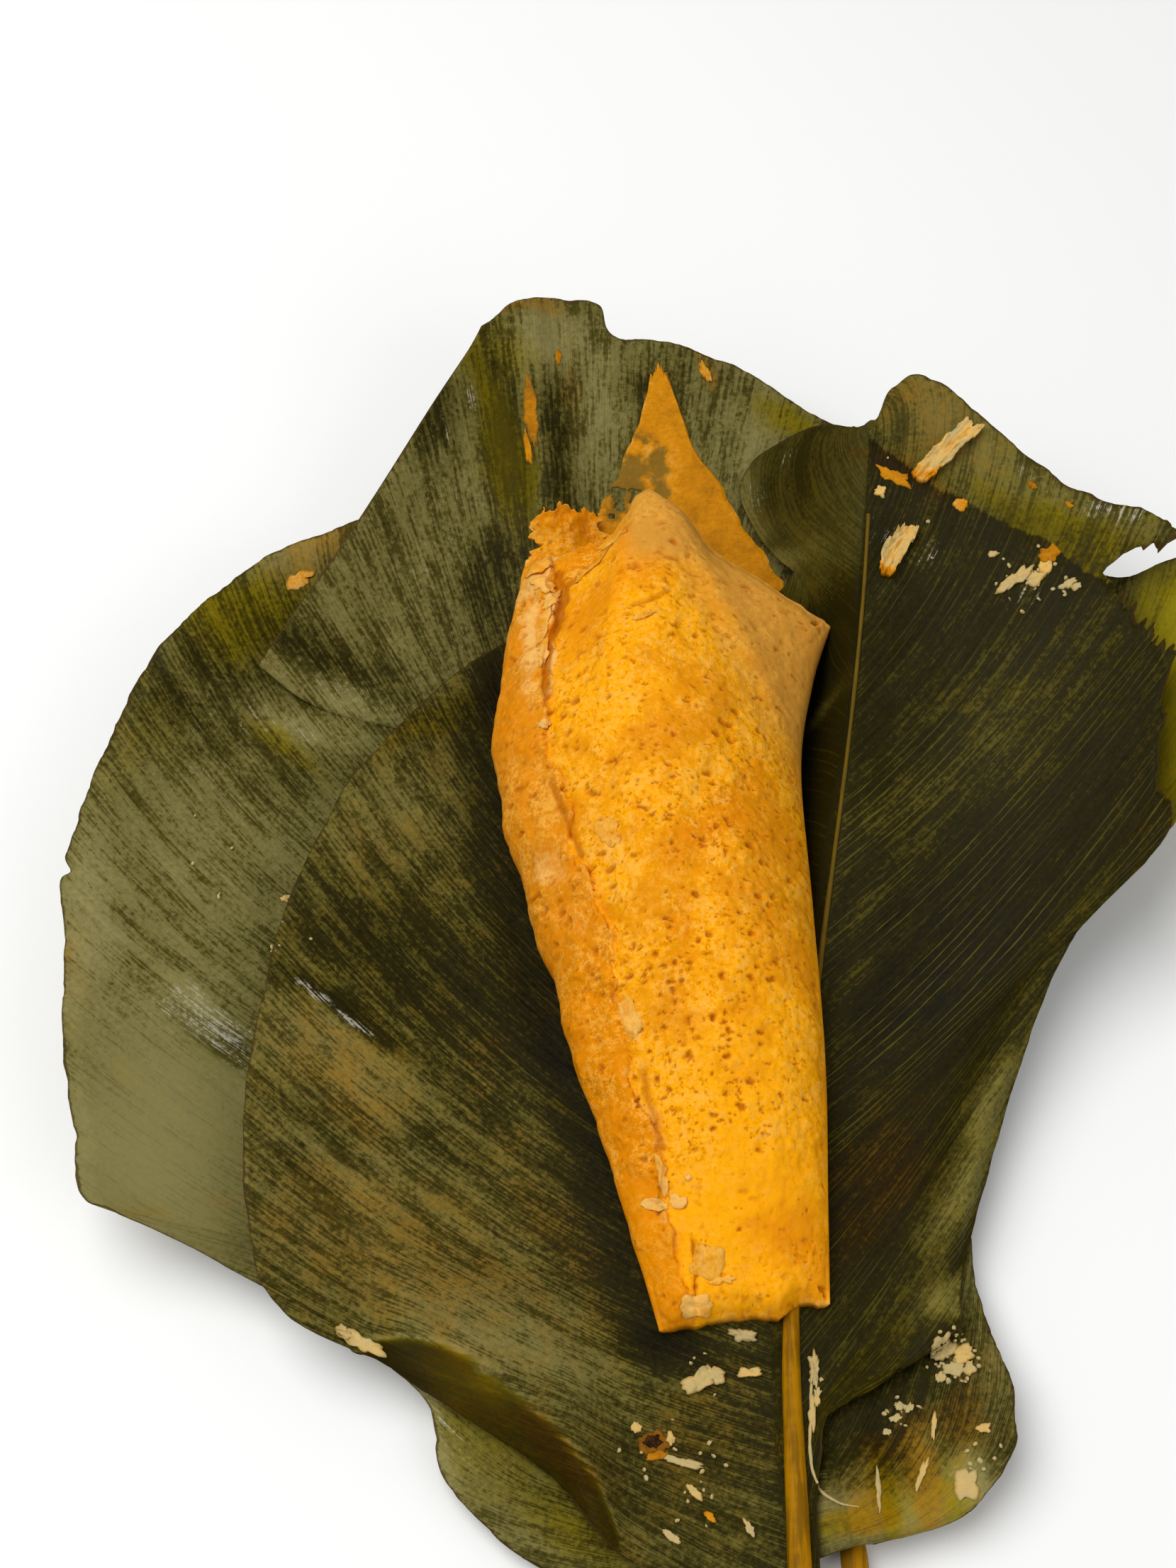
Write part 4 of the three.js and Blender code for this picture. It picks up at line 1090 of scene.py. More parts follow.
def finish_leaf(name, node, base, vein, masks, marks, keep, settings, seed, under_lift):
    """Solid leaf over a grid: veins and crumples on top, thinner margins, masks for the material."""
    x, y = base[..., 0], base[..., 1]
    normal = normals_of(base)
    across, along = vein[..., 0], vein[..., 1]
    waver = 0.8 * noise(across, along / 12, 8, seed)
    ridge = np.cos(np.pi * (across + waver) / (settings.vein_gap / MM)) ** 2
    relief = settings.vein_height / MM * ridge * (0.6 + 0.4 * noise(across, along / 6, 5, seed + 1))
    pleats = 0.5 + 0.5 * noise(across, along / 10, 4.5, seed + 3)
    crumples = 0.5 + 0.5 * rough(x, y, 22, seed + 2)
    relief = relief + settings.crumple / MM * (0.75 * crumples + 0.25 * pleats)
    inward = smoothstep(masks["edge"], 0, MARGIN_TAPER)
    thickness = lerp(settings.margin_thickness / MM, LEAF_THICKNESS, inward)
    top = base + normal * relief[..., None]
    under = base + normal * (relief * under_lift - thickness)[..., None]
    for mark in ("glow", "stain", "scuff_and_sheen", "smooth"):
        found = marks_at(x, y, marks[mark], seed + 7)
        masks[mark] = np.maximum(masks.get(mark, 0), found)
    lightness = marks_at(x, y, marks["pale"], seed + 8) - marks_at(x, y, marks["dark"], seed + 9)
    masks["tone"] = masks["tone"] + lightness
    masks["vein"] = vein
    piece = shell_piece(name, top, under, keep, masks, leaf_material(name, settings))
    return stand_for(piece, node, node)


def right_half(leaf, v):
    return smoothstep(v, -leaf["halves"], leaf["halves"])


def half_looks(leaf, right):
    """Looks of a leaf, each going from its value on the left half to the one on the right."""
    return {mask: lerp(*pair, right) for mask, pair in leaf["looks"].items()}


def make_outer_leaf(settings):
    leaf = OUTER_LEAF
    ripple, hump, nick, waver = leaf["ripple"], leaf["hump"], leaf["nick"], leaf["fold_waver"]
    u, v = cells(leaf["grid"])
    share = np.abs(v)
    root = leaf["midrib"].at(u ** leaf["slant"])
    nicked = bell(leaf["left"].at(u)[..., 1] - nick["y"], nick["width"]) * (v < 0)
    jag = ragged_margin(u, v, leaf["ragged"]) - nick["depth"] * nicked
    plan, length = ribbed_plan(leaf, root, u, v, share, jag)
    x, y = plan[..., 0], plan[..., 1]
    lift = ripple["height"] * wave(ripple["count"], u) * smoothstep(-x, ripple["from_x"], ripple["to_x"])
    wavered = y + waver["height"] * noise(x, y, waver["size"], waver["seed"])
    for points, height, width in leaf["folds"]:
        lift = lift + height * bell(line_distance(x, wavered, points), width)
    over_stalk = bell(x - hump["x"], hump["width"]) * faded(y, hump["full"], hump["end"])
    z = leaf_top(OUTER_LAYER, x, y) + lift + hump["height"] * over_stalk
    vein = vein_field(leaf, u, v, share, length)
    masks = half_looks(leaf, right_half(leaf, v))
    masks["edge"] = (1 - share) * length
    masks["lobe"] = np.full_like(u, NO_LOBE)
    keep = np.ones(leaf["grid"], bool)
    lifted = smoothstep(z, *leaf["lifted"])
    base = stacked(x, y, z)
    finish_leaf("outer_wrap", "outer_leaf", base, vein, masks, OUTER_MARKS, keep, settings, 100, lifted)


def make_back_leaf(settings):
    leaf = BACK_LEAF
    edge, fan, frayed, drop = leaf["edge"], leaf["fan"], leaf["frayed"], leaf["near_drop"]
    u, v = cells(leaf["grid"], 0.0)
    plan = patch_grid(leaf, u, v)
    x, y = plan[..., 0], plan[..., 1]
    width = np.linalg.norm(plan[:, -1:] - plan[:, :1], axis=-1)
    height = np.linalg.norm(plan[-1:] - plan[:1], axis=-1)
    fraying = frayed["height"] * rough(x, y, frayed["size"], frayed["seed"])
    y = y + fraying * smoothstep(u, frayed["start"], 1)
    lift = edge["lift"] * faded(v, 0, edge["share"]) - drop["depth"] * faded(u, 0, drop["share"])
    base = stacked(x, y, on_back_leaf(x, y) + lift)
    turn = np.arctan2(x - fan["x"], y - fan["y"])
    along = np.hypot(x - fan["x"], y - fan["y"])
    vein = stacked(turn * fan["reach"], along, np.full_like(u, fan["number"]))
    masks = half_looks(leaf, right_half(leaf, v))
    masks["edge"] = np.minimum(np.minimum(v, 1 - v) * width, (1 - u) * height)
    masks["lobe"] = np.full_like(u, NO_LOBE)
    keep = np.ones(leaf["grid"], bool)
    finish_leaf("back_wrap", "back_leaf", base, vein, masks, BACK_MARKS, keep, settings, 200, 1.0)


def polygon_distance(x, y, corners):
    """Distance to a closed outline in plan, below nothing inside it, and the nearest place on it."""
    best = np.full(x.shape, np.inf)
    near_x = np.zeros_like(x)
    near_y = np.zeros_like(y)
    inside = np.zeros(x.shape, bool)
    for (ax, ay), (bx, by) in zip(corners, np.roll(corners, -1, axis=0)):
        foot_x, foot_y = foot_on(x, y, (ax, ay), (bx, by))
        distance = np.hypot(x - foot_x, y - foot_y)
        closer = distance < best
        best = np.where(closer, distance, best)
        near_x = np.where(closer, foot_x, near_x)
        near_y = np.where(closer, foot_y, near_y)
        if ay != by:
            crosses = (ay > y) != (by > y)
            inside ^= crosses & (x < ax + (bx - ax) * (y - ay) / (by - ay))
    return np.where(inside, -best, best), near_x, near_y


def jagged(corners, step, height, seed):
    """Outline with its straight sides broken into uneven teeth."""
    points = []
    for (ax, ay), (bx, by) in zip(corners, np.roll(corners, -1, axis=0)):
        length = math.hypot(bx - ax, by - ay)
        count = max(int(length / step), 1)
        for i in range(count):
            x, y = lerp(ax, bx, i / count), lerp(ay, by, i / count)
            push = height * float(noise(x * 7, y * 7, 5, seed)) if i else 0.0
            points.append([x - push * (by - ay) / length, y + push * (bx - ax) / length])
    return np.array(points)


def flap_places(x, y, v):
    """Where the folded flap is, how far each point lies past its bend, and from the bend itself."""
    flap = INNER_LEAF["flap"]
    here = window(x, *flap["left"], *flap["right"]) * ((v < 0) & (y < flap["far"]))
    margin = INNER_LEAF["left"].at(np.linspace(0, flap["margin_end"], 36))
    to_bend = line_distance(x, y, flap["bend"])
    to_margin = line_distance(x, y, margin)
    past = (y < np.interp(x, *np.transpose(flap["bend"]))) * to_bend
    return here, past / (past + to_margin + NEAR_NOTHING), to_bend


def inner_leaf_lift(u, v, share, x, y):
    """How far the inner leaf stands above the stack: crest, left rise, folded flap, strip, ripples."""
    flap, strip, ripple = INNER_LEAF["flap"], INNER_LEAF["strip"], INNER_LEAF["ripple"]
    crest = crest_lift(x, y)
    flap_here, past_bend, to_bend = flap_places(x, y, v)
    rise = np.where(past_bend > 0, 1, faded(to_bend, 0, flap["reach"]))
    left = crest + left_rise(x, y) + flap["height"] * flap_here * rise
    left = left * (1 - flap_here * past_bend)
    waves = ripple["height"] * wave(ripple["count"], u) * between(u, ripple["start"], ripple["end"])
    left = left + waves * share**2
    fold = window(share, strip["foot"], strip["crease"], strip["crease"], 1)
    right = crest + strip["height"] * fold * between(u, strip["start"], strip["end"])
    return np.where(v < 0, left, right)


def under_wall(x, y, v):
    """Where the inner leaf's left half lies in the deep gap under the midrib's wall."""
    wall = INNER_LEAF["wall_shade"]
    below = (v < 0) * smoothstep(x - midrib_x(y), wall["far"], wall["near"])
    return below * window(y, *wall["along"])


def inner_shade(x, y, v):
    """How much darker the inner leaf's left half is beside the pudding and under the midrib's wall."""
    beside = INNER_LEAF["pudding_shade"]
    side = PUDDING["left"].at(np.linspace(0, 1, 16))[:, :2]
    near_pudding = faded(line_distance(x, y, side), beside["near"], beside["far"])
    wall_depth = INNER_LEAF["wall_shade"]["depth"] * under_wall(x, y, v)
    return np.maximum((v < 0) * beside["depth"] * near_pudding, wall_depth)


def inner_lobe(x, y, v):
    """Distance past the line where the inner leaf's far lobe begins, as far as the looks use it. The material
    paints the lobe lighter as light coming through a single leaf, its border standing for the edge of the
    shade of the leaf behind.
    """
    line, edge = INNER_LEAF["lobe"], INNER_LEAF["lobe_edge"]
    past_line = edge["slope"] * (y - np.interp(x, *np.transpose(line)))
    past = np.where((x > line[0][0]) & (v > 0), past_line, NO_LOBE)
    waver = edge["waver"] * rough(x, y, edge["size"], edge["seed"])
    return np.clip(past + waver, NO_LOBE, -NO_LOBE)


def inner_looks(x, y, v, lobe, to_tear):
    """Looks of the inner leaf: its halves, folded flap, far lobe, torn rim and shaded places, with painted
    light through the flap's face and a painted highlight along its bend.
    """
    leaf = INNER_LEAF
    flap, far, lines, tear = leaf["flap"], leaf["far_left"], leaf["lines"], leaf["tear"]
    right = right_half(leaf, v)
    looks = half_looks(leaf, right)
    flap_here, past_bend, to_bend = flap_places(x, y, v)
    on_flap = smoothstep(flap_here, *flap["edge"])
    face = on_flap * smoothstep(past_bend, 0.0, flap["turned"])
    # Painted highlight along the flap's bend
    bend = on_flap * bell(to_bend, flap["bend_highlight_width"])
    flap_tone = flap["tone"] - flap["shade"] * smoothstep(-x, *flap["shade_x"])
    tone = lerp(looks["tone"] - inner_shade(x, y, v), flap_tone, face)
    far_left = (v < 0) * smoothstep(y, far["start"], far["full"])
    by_wall = leaf["wall_shade"]["smooth"] * under_wall(x, y, v)
    quiet = np.maximum.reduce([face, by_wall, far["smooth"] * far_left])
    right_lines = lines["right"] - lines["fade"] * smoothstep(y, lines["start"], lines["end"])
    lined = lerp(lines["left"] * (1 - far_left), right_lines, right)
    return {
        "lined": lined * faded(lobe, -1, 1),
        "tone": tone + flap["bend_highlight"] * bend,
        "smooth": np.maximum(looks["smooth"], quiet),
        "glow": np.maximum(looks["glow"], flap["glow"] * face),
        "stain": np.maximum(looks["stain"], flap["stain"] * face),
        "scuff_and_sheen": tear["scuff_and_sheen"] * faded(to_tear, *tear["fringe"]),
        "lobe": lobe,
    }


def make_inner_leaf(settings):
    leaf = INNER_LEAF
    midrib, fan, lip = leaf["midrib"], leaf["right_fan"], leaf["lip"]
    torn_run, tear = leaf["torn_run"], leaf["tear"]
    u, v = cells(leaf["grid"])
    root_y = lerp(midrib["base"], midrib["tip"], u ** leaf["slant"])
    fan_y = lerp(midrib["base"], fan["y"], smoothstep(u, 0, fan["full_at"]))
    root_y = np.where(v > 0, np.maximum(root_y, fan_y), root_y)
    root = stacked(midrib_x(root_y), root_y)
    share = np.where(v < 0, np.interp(-v, *leaf["left_spread"]), v)
    torn = window(u, *torn_run["along"]) * (v > 0)
    torn = torn * ragged_margin(u * torn_run["pace"], v, torn_run["ragged"])
    jag = ragged_margin(u, v, leaf["ragged"]) + torn
    plan, length = ribbed_plan(leaf, root, u, v, share, jag)
    x, y = plan[..., 0], plan[..., 1]

    outline = jagged(leaf["torn_away"], tear["step"], tear["teeth"], tear["seed"])
    distance, near_x, near_y = polygon_distance(x, y, outline)
    snapped = np.abs(distance) < tear["snap"]
    x = np.where(snapped, near_x, x)
    y = np.where(snapped, near_y, y)
    gone = np.where(snapped, 0, distance) <= 0
    keep = ~np.logical_and.reduce(cell_corners(gone))

    lobe = inner_lobe(x, y, v)
    lip_height = lip["height"] * bell(lobe - lip["at"], lip["width"])
    z = leaf_top(INNER_LAYER, x, y) + inner_leaf_lift(u, v, share, x, y) + lip_height
    vein = vein_field(leaf, u, v, share, length)
    to_tear = np.maximum(distance, 0)
    masks = inner_looks(x, y, v, lobe, to_tear)
    masks["edge"] = np.minimum((1 - share) * length, to_tear)
    base = stacked(x, y, z)
    finish_leaf("inner_wrap", "inner_leaf", base, vein, masks, INNER_MARKS, keep, settings, 300, 1.0)


class MOIMOI_OT_leaves(bpy.types.Operator):
    """Make the three leaves that the pudding was wrapped in"""

    bl_idname = "moi_moi.leaves"
    bl_label = "Leaves"

    def execute(self, context):
        settings = context.scene.moi_moi.leaf
        make_outer_leaf(settings)
        make_back_leaf(settings)
        make_inner_leaf(settings)
        return {"FINISHED"}


# Node trees that grow stalks and crumbs

def new_tree(name, inputs):
    """Empty geometry node tree with named inputs."""
    tree = bpy.data.node_groups.new(name, "GeometryNodeTree")
    tree.interface.new_socket("Geometry", in_out="INPUT", socket_type="NodeSocketGeometry")
    for label, kind in inputs.items():
        tree.interface.new_socket(label, in_out="INPUT", socket_type=kind)
    tree.interface.new_socket("Geometry", in_out="OUTPUT", socket_type="NodeSocketGeometry")
    sockets = tree.nodes.new("NodeGroupInput").outputs
    return tree, {socket.name: Value(tree, socket) for socket in sockets}


def end_tree(tree, geometry, material):
    """Close a tree: instances made real, smooth faces and the material set."""
    real = put(tree, "GeometryNodeRealizeInstances", {0: geometry})
    smooth = put(tree, "GeometryNodeSetShadeSmooth", {0: real})
    done = put(tree, "GeometryNodeSetMaterial", {"Geometry": smooth, "Material": material})
    feed(tree, tree.nodes.new("NodeGroupOutput"), {0: done})


def uneven(tree, geometry, size, height):
    """Push points in and out along their normals by noise."""
    swell = put(tree, "GeometryNodeInputPosition").grain(size, 2.0).swing(height)
    normal = put(tree, "GeometryNodeInputNormal")
    push = put(tree, "ShaderNodeVectorMath", {0: normal, "Scale": swell}, operation="SCALE")
    return put(tree, "GeometryNodeSetPosition", {"Geometry": geometry, "Offset": push})


def named(tree, attribute):
    return put(tree, "GeometryNodeInputNamedAttribute", {"Name": attribute}, data_type="FLOAT")


def guide(points, edges, faces, attribute, values):
    """Object that a node tree works from, with one number for each point."""
    mesh = bpy.data.meshes.new("guide")
    mesh.from_pydata(to_metres(points).tolist(), edges, faces)
    mesh.attributes.new(attribute, "FLOAT", "POINT").data.foreach_set("value", values)
    return add_object("guide", mesh)


def grow(name, base, tree, values):
    """Piece that a node tree makes from a base object, as a plain mesh."""
    modifier = base.modifiers.new("grow", "NODES")
    modifier.node_group = tree
    for item in tree.interface.items_tree:
        if item.in_out == "INPUT" and item.name in values:
            modifier[item.identifier] = values[item.name]
    graph = bpy.context.evaluated_depsgraph_get()
    mesh = bpy.data.meshes.new_from_object(base.evaluated_get(graph), depsgraph=graph)
    mesh.name = name
    bpy.data.objects.remove(base)
    return add_object(name, mesh)


def stalk_tree(material):
    """Round stalk along a line of edges whose points say how thick it is."""
    tree, given = new_tree("stalk", {"Sides": "NodeSocketInt", "Unevenness": "NodeSocketFloat"})
    path = put(tree, "GeometryNodeMeshToCurve", {0: given["Geometry"]})
    ring = put(tree, "GeometryNodeCurvePrimitiveCircle", {0: given["Sides"], 4: 1.0})
    sweep = {"Curve": path, "Profile Curve": ring, "Scale": named(tree, "thickness"), "Fill Caps": True}
    tube = put(tree, "GeometryNodeCurveToMesh", sweep)
    end_tree(tree, uneven(tree, tube, STALK["bump_scale"], given["Unevenness"]), material)
    return tree


def make_stalk(name, points, radii, tree, values):
    edges = [(i, i + 1) for i in range(len(points) - 1)]
    path = guide(points, edges, [], "thickness", np.asarray(radii, np.float32) * MM)
    piece = grow(name, path, tree, values)
    piece.data.set_sharp_from_angle(angle=math.radians(STALK["sharp_angle"]))
    return piece


class MOIMOI_OT_stalks(bpy.types.Operator):
    """Make the stalks of the inner and outer leaf"""

    bl_idname = "moi_moi.stalks"
    bl_label = "Stalks"

    def execute(self, context):
        settings = context.scene.moi_moi.stalk
        tree = stalk_tree(stalk_material(settings))
        values = {"Sides": settings.sides, "Unevenness": STALK["unevenness"] * MM}
        inner = make_stalk("inner_stalk", *self.inner_path(), tree, values)
        stand_for(inner, "inner_leaf", "inner_leaf")
        outer = make_stalk("outer_stalk", *self.outer_path(), tree, values)
        stand_for(outer, "outer_leaf", "outer_leaf")
        return {"FINISHED"}

    def inner_path(self):
        """Middle line and radius of the inner leaf's stalk, from its cut end up the midrib."""
        midrib = INNER_LEAF["midrib"]
        t = np.linspace(0, 1, INNER_STALK["steps"])
        y = lerp(STALK["end"], midrib["tip"] - INNER_STALK["tip_gap"], t)
        x = midrib_x(y)
        on_leaf = smoothstep(y, STALK["end"], midrib["base"] + INNER_STALK["overlap"])
        z = lerp(STALK["radius"], on_inner_leaf(x, y) + INNER_STALK["lift"], on_leaf)
        thin = smoothstep(t, INNER_STALK["thin_from"], INNER_STALK["thin_to"])
        points = stacked(x, y, np.maximum(z, STALK["radius"]))
        return points, lerp(STALK["radius"], STALK["tip_radius"], thin)

    def outer_path(self):
        """Middle line and radius of the outer leaf's stalk, from its cut end to under the leaf's base."""
        t = np.linspace(0, 1, OUTER_STALK["steps"])
        y = lerp(STALK["end"], OUTER_STALK["root_y"], t)
        x = lerp(OUTER_STALK["end_x"], OUTER_STALK["root_x"], t)
        radius = lerp(STALK["radius"], STALK["tip_radius"], smoothstep(t, OUTER_STALK["thin_from"], 1))
        return stacked(x, y, radius), radius


# Pudding

def pudding_seam(y):
    """Ragged line where the layer on the pudding's left side ends."""
    seam = PUDDING["seam"]
    line = seam["x"] + seam["lean"] * np.maximum(0, seam["bend_y"] - y)
    line = line + seam["waver"] * np.sin(y / seam["waver_length"])
    return line + 1.6 * noise(y, 0, 8, 61) + 0.5 * rough(y, 0 * y, 3, 60)


def past_seam(x, y):
    """Distance to the right of the seam, whose edge breaks up into flakes."""
    flaked = y + 1.6 * rough(x, y, 2.6, 59)
    return x - pudding_seam(flaked) + 0.7 * rough(x, y, 1.6, 58)


def past_facet(x, y):
    """Distance to the right of the left border of the dry facet."""
    facet = PUDDING["facet"]
    return x - (facet["x"] + facet["lean"] * (facet["y"] - y))


def pudding_relief(x, y):
    """Height of the upper face's relief: layer, ridge, groove, facet, torn notch and cracks."""
    ridge, groove, notch = PUDDING["ridge"], PUDDING["groove"], PUDDING["notch"]
    seam, facet = PUDDING["seam"], PUDDING["facet"]
    offset = past_seam(x, y)
    layer = seam["step"] * faded(offset, -0.35, 0.35) * (0.95 + 0.4 * noise(y, 0, 8, 57))
    lip = 0.5 * bell(offset + 0.8, 0.8) - 0.9 * bell(offset - 0.5, 0.5)
    lip = lip * np.clip(0.5 + 0.8 * noise(x, y, 4, 62), 0, 1) * lerp(0.4, 1.0, smoothstep(y, -45, -10))
    rise = ridge["height"] * bell(x - ridge["x"] - ridge["lean"] * y, ridge["width"])
    rise = rise * smoothstep(y, ridge["start"], ridge["full"])
    span = window(y, groove["start"], groove["full"], groove["fade"], groove["end"])
    fall = groove["depth"] * bell(x - groove["x"] - groove["lean"] * y, groove["width"]) * span
    torn = bell(x - notch["x"], notch["width"]) * bell(y - notch["y"], notch["length"])
    crumbled = 1.5 * rough(x, y, 4, 63) * smoothstep(torn, 0.15, 0.5)
    edge = facet["height"] * bell(past_facet(x, y), facet["width"]) * smoothstep(y, 5, 30)
    return layer + lip + rise + edge - fall - notch["depth"] * torn + crumbled - crack_depth(x, y)


def crack_depth(x, y):
    split = np.zeros_like(x)
    for points, width, depth in CRACKS:
        wander = line_distance(x + 0.7 * rough(x, y, 3, 72), y + 0.7 * rough(x, y, 3, 73), points)
        split = np.maximum(split, depth * bell(wander, width))
    return split


def pudding_ends(u):
    rounding = PUDDING["rounding"]
    front = np.clip(u / rounding["front"], 0, 1)
    back = np.clip((1 - u) / rounding["back"], 0, 1)
    ends = np.sqrt((1 - (1 - front) ** 2) * (1 - (1 - back) ** 2))
    return np.maximum(ends, rounding["blunt"])


def pudding_crown(u):
    crown = PUDDING["crown"]
    rising = lerp(crown["front"], crown["middle"], smoothstep(u, 0, crown["full_at"]))
    return lerp(rising, crown["back"], smoothstep(u, crown["fall_from"], 1))


def pudding_masks(x, y, u):
    """Where the pudding is dry and tan, pale and torn, deep orange, or smooth skin, and the painted shade in
    its cracks.
    """
    offset = past_seam(x, y)
    beyond = past_facet(x, y)
    layer = faded(offset, -0.5, 0.5)
    facet = 0.6 * smoothstep(beyond + 8, -4, 4) + 0.4 * smoothstep(beyond, -4, 4)
    facet = facet * smoothstep(y, -10, 30)
    peak = smoothstep(y, 45, 56) * smoothstep(x, -12, -4)
    flank = smoothstep(x, 12, 22) * faded(y, 10, 40)
    front = faded(y, -58, -46)
    ends = np.maximum(smoothstep(y, 15, 35), faded(y, -55, -40))
    lip = bell(offset + 0.4, 0.9) * np.clip(0.35 + 0.9 * noise(x, y, 3, 65), 0, 1) * lerp(0.4, 1.0, ends)
    rim = faded(np.minimum(u, 1 - u) * 150, 0.2, 1.6)
    aged = 0.35 * layer * smoothstep(y, -50, 0)
    pale = np.maximum(lip, marks_at(x, y, PUDDING_MARKS["pale"], 66))
    wet = marks_at(x, y, PUDDING_MARKS["wet"], 54)
    # Painted shade in the crack at the foot of the layer's step
    crack = 0.75 * bell(offset - 0.45, 0.35) * np.clip(0.3 + 1.2 * noise(x, y, 5, 55), 0, 1)
    crack = crack * lerp(0.2, 1.0, smoothstep(y, -45, -10))
    return {
        "tan": np.maximum.reduce([0.85 * facet, 0.9 * peak, aged, 0.12 * flank]),
        "pale": np.clip(pale + 0.4 * rim, 0, 1),
        "deep": np.maximum(marks_at(x, y, PUDDING_MARKS["deep"], 67), 0.8 * layer),
        "skin": np.maximum.reduce([0.85 * facet, 0.35 * layer, 0.4 * flank, 0.8 * front, 0.7 * peak, wet]),
        "bright": marks_at(x, y, PUDDING_MARKS["bright"], 56),
        "pore": np.maximum(crack, np.clip(crack_depth(x, y), 0, 1)),
    }


def pore_depth(x, y, skin, settings):
    """Pits of the open pores over the upper grid, and how deep in a pore each point lies."""
    picks = np.random.default_rng(PORES["seed"])
    depth = np.zeros(x.shape)
    inside = np.zeros(x.shape)
    spread_x = x + 0.6 * rough(x, y, 1.4, 74)
    spread_y = y + 0.6 * rough(x, y, 1.4, 75)
    nearest, farthest = y.min(axis=1) - 2, y.max(axis=1) + 2
    for _ in range(settings.pore_count):
        centre_x = picks.uniform(*PORES["x"])
        centre_y = picks.uniform(*PORES["y"])
        radius = settings.pore_size / MM * lerp(PORES["smallest"], 1.0, picks.random() ** PORES["rarity"])
        stretch = picks.uniform(*PORES["stretch"])
        chance = picks.random()
        crowd = float(noise(centre_x, centre_y, PORES["crowd_size"], 64))
        if chance > PORES["share"] + PORES["crowding"] * crowd:
            continue
        rows = (nearest < centre_y) & (farthest > centre_y)
        away = np.hypot((spread_x[rows] - centre_x) / stretch, (spread_y[rows] - centre_y) * stretch)
        pit = np.clip(1.3 - away / radius, 0, 1)
        calm = 1 - PORES["skin_fill"] * skin[rows] * (chance > PORES["always_open"])
        depth[rows] = np.maximum(depth[rows], PORES["depth"] * radius * smoothstep(pit, 0, 1) * calm)
        inside[rows] = np.maximum(inside[rows], smoothstep(pit, 0.15, 0.75) * calm)
    return depth, inside


def pudding_faces(rows, columns, spread):
    """Faces of a fine upper grid and a coarser lower one that share both long sides."""
    upper = np.arange((rows + 1) * (columns + 1)).reshape(rows + 1, columns + 1)
    wide = columns // spread
    lower = upper.size + np.arange((rows + 1) * (wide + 1)).reshape(rows + 1, wide + 1)
    lower[:, 0] = upper[:, 0]
    lower[:, -1] = upper[:, -1]
    a, b, c, d = cell_corners(lower)
    top = stacked(*cell_corners(upper))
    base = stacked(a, d, c, b)
    faces = top.reshape(-1, 4).tolist() + base.reshape(-1, 4).tolist()
    for row, near in ((0, True), (rows, False)):
        for i in range(wide):
            fan = upper[row, i * spread:(i + 1) * spread + 1].tolist()
            foot = [int(corner) for corner in lower[row, i:i + 2] if corner not in fan]
            faces.append(foot + fan[::-1] if near else fan + foot[::-1])
    return faces


def make_pudding(settings):
    rows, columns, spread = settings.rows, settings.columns, PUDDING["under_spread"]
    rounding, imprint = PUDDING["rounding"], PUDDING["imprint"]
    even = np.linspace(0, 1, columns + 1)
    gathered = lerp(even, (1 - np.cos(np.pi * even)) / 2, PUDDING["side_gather"])
    u, v = np.meshgrid(np.linspace(0, 1, rows + 1), gathered, indexing="ij")
    plan = patch_grid(PUDDING, u, v)
    x, y, z = plan[..., 0], plan[..., 1], plan[..., 2]
    front = np.interp(x, PUDDING["front_x"], PUDDING["front_tear"])
    nibbled = 0.45 * rough(x, 0 * x, 1.8, 68) * faded(u, 0, 0.025)
    back = lerp(1.8, 0.6, smoothstep(x, -12, -4)) * rough(x, 0 * x, 3, 69)
    x = x + 0.9 * rough(0 * y, y, 9, 79) * faded(v, 0, 0.15) * smoothstep(u, 0.05, 0.15)
    y = y + front * faded(u, 0, 0.16) + nibbled + back * smoothstep(u, 0.965, 1)
    side = np.abs(2 * v - 1)

    def rounded(power, root):
        return pudding_ends(u) * np.maximum(1 - side**power, 0) ** root

    upper_z = z + (pudding_crown(u) + pudding_relief(x, y)) * rounded(*rounding["over"])
    upper = stacked(x, y, upper_z)
    rest = under_pudding(x, y) + PUDDING["gap"]
    lower_z = np.maximum(z - (z + PUDDING["sink"]) * rounded(*rounding["under"]), np.minimum(rest, z))
    lower = stacked(x, y, lower_z)[:, ::spread]

    normal = normals_of(upper)
    masks = pudding_masks(x, y, u)
    depth, pore = pore_depth(x, y, masks["skin"], settings)
    height = settings.grain_height / MM
    crumbs = height * (rough(x, y, 2.6, 70) + 0.8 * rough(x, y, 1.0, 71)) * (1 - 0.6 * masks["skin"])
    coarse = marks_at(x, y, PUDDING_MARKS["rugged"], 77)
    coarse = np.maximum(coarse, 0.6 * faded(past_seam(x, y), -0.5, 0.5))
    dents = 0.45 * rough(x, y, 8, 76) + 0.9 * rough(x, y, 3.2, 78) * coarse
    across_veins = x * imprint["x"] + y * imprint["y"]
    veins = imprint["height"] * np.sin(across_veins * 2 * np.pi / imprint["spacing"]) * masks["tan"]
    inward = smoothstep(1 - side, 0, 0.04)
    upper = upper + normal * ((crumbs + dents + veins - depth) * inward)[..., None]
    masks["pore"] = np.maximum(masks["pore"], pore) * inward

    points = np.vstack([upper.reshape(-1, 3), lower.reshape(-1, 3)])
    joined = {}
    for mask, values in masks.items():
        joined[mask] = np.concatenate([values.ravel(), values[:, ::spread].ravel()])
    faces = pudding_faces(rows, columns, spread)
    piece = mesh_piece("pudding_body", points, faces, joined, pudding_material(settings))
    return stand_for(piece, "pudding", "pudding")


class MOIMOI_OT_pudding(bpy.types.Operator):
    """Make the pudding itself"""

    bl_idname = "moi_moi.pudding"
    bl_label = "Pudding"

    def execute(self, context):
        make_pudding(context.scene.moi_moi.pudding)
        return {"FINISHED"}


# Pudding that stuck to the leaves

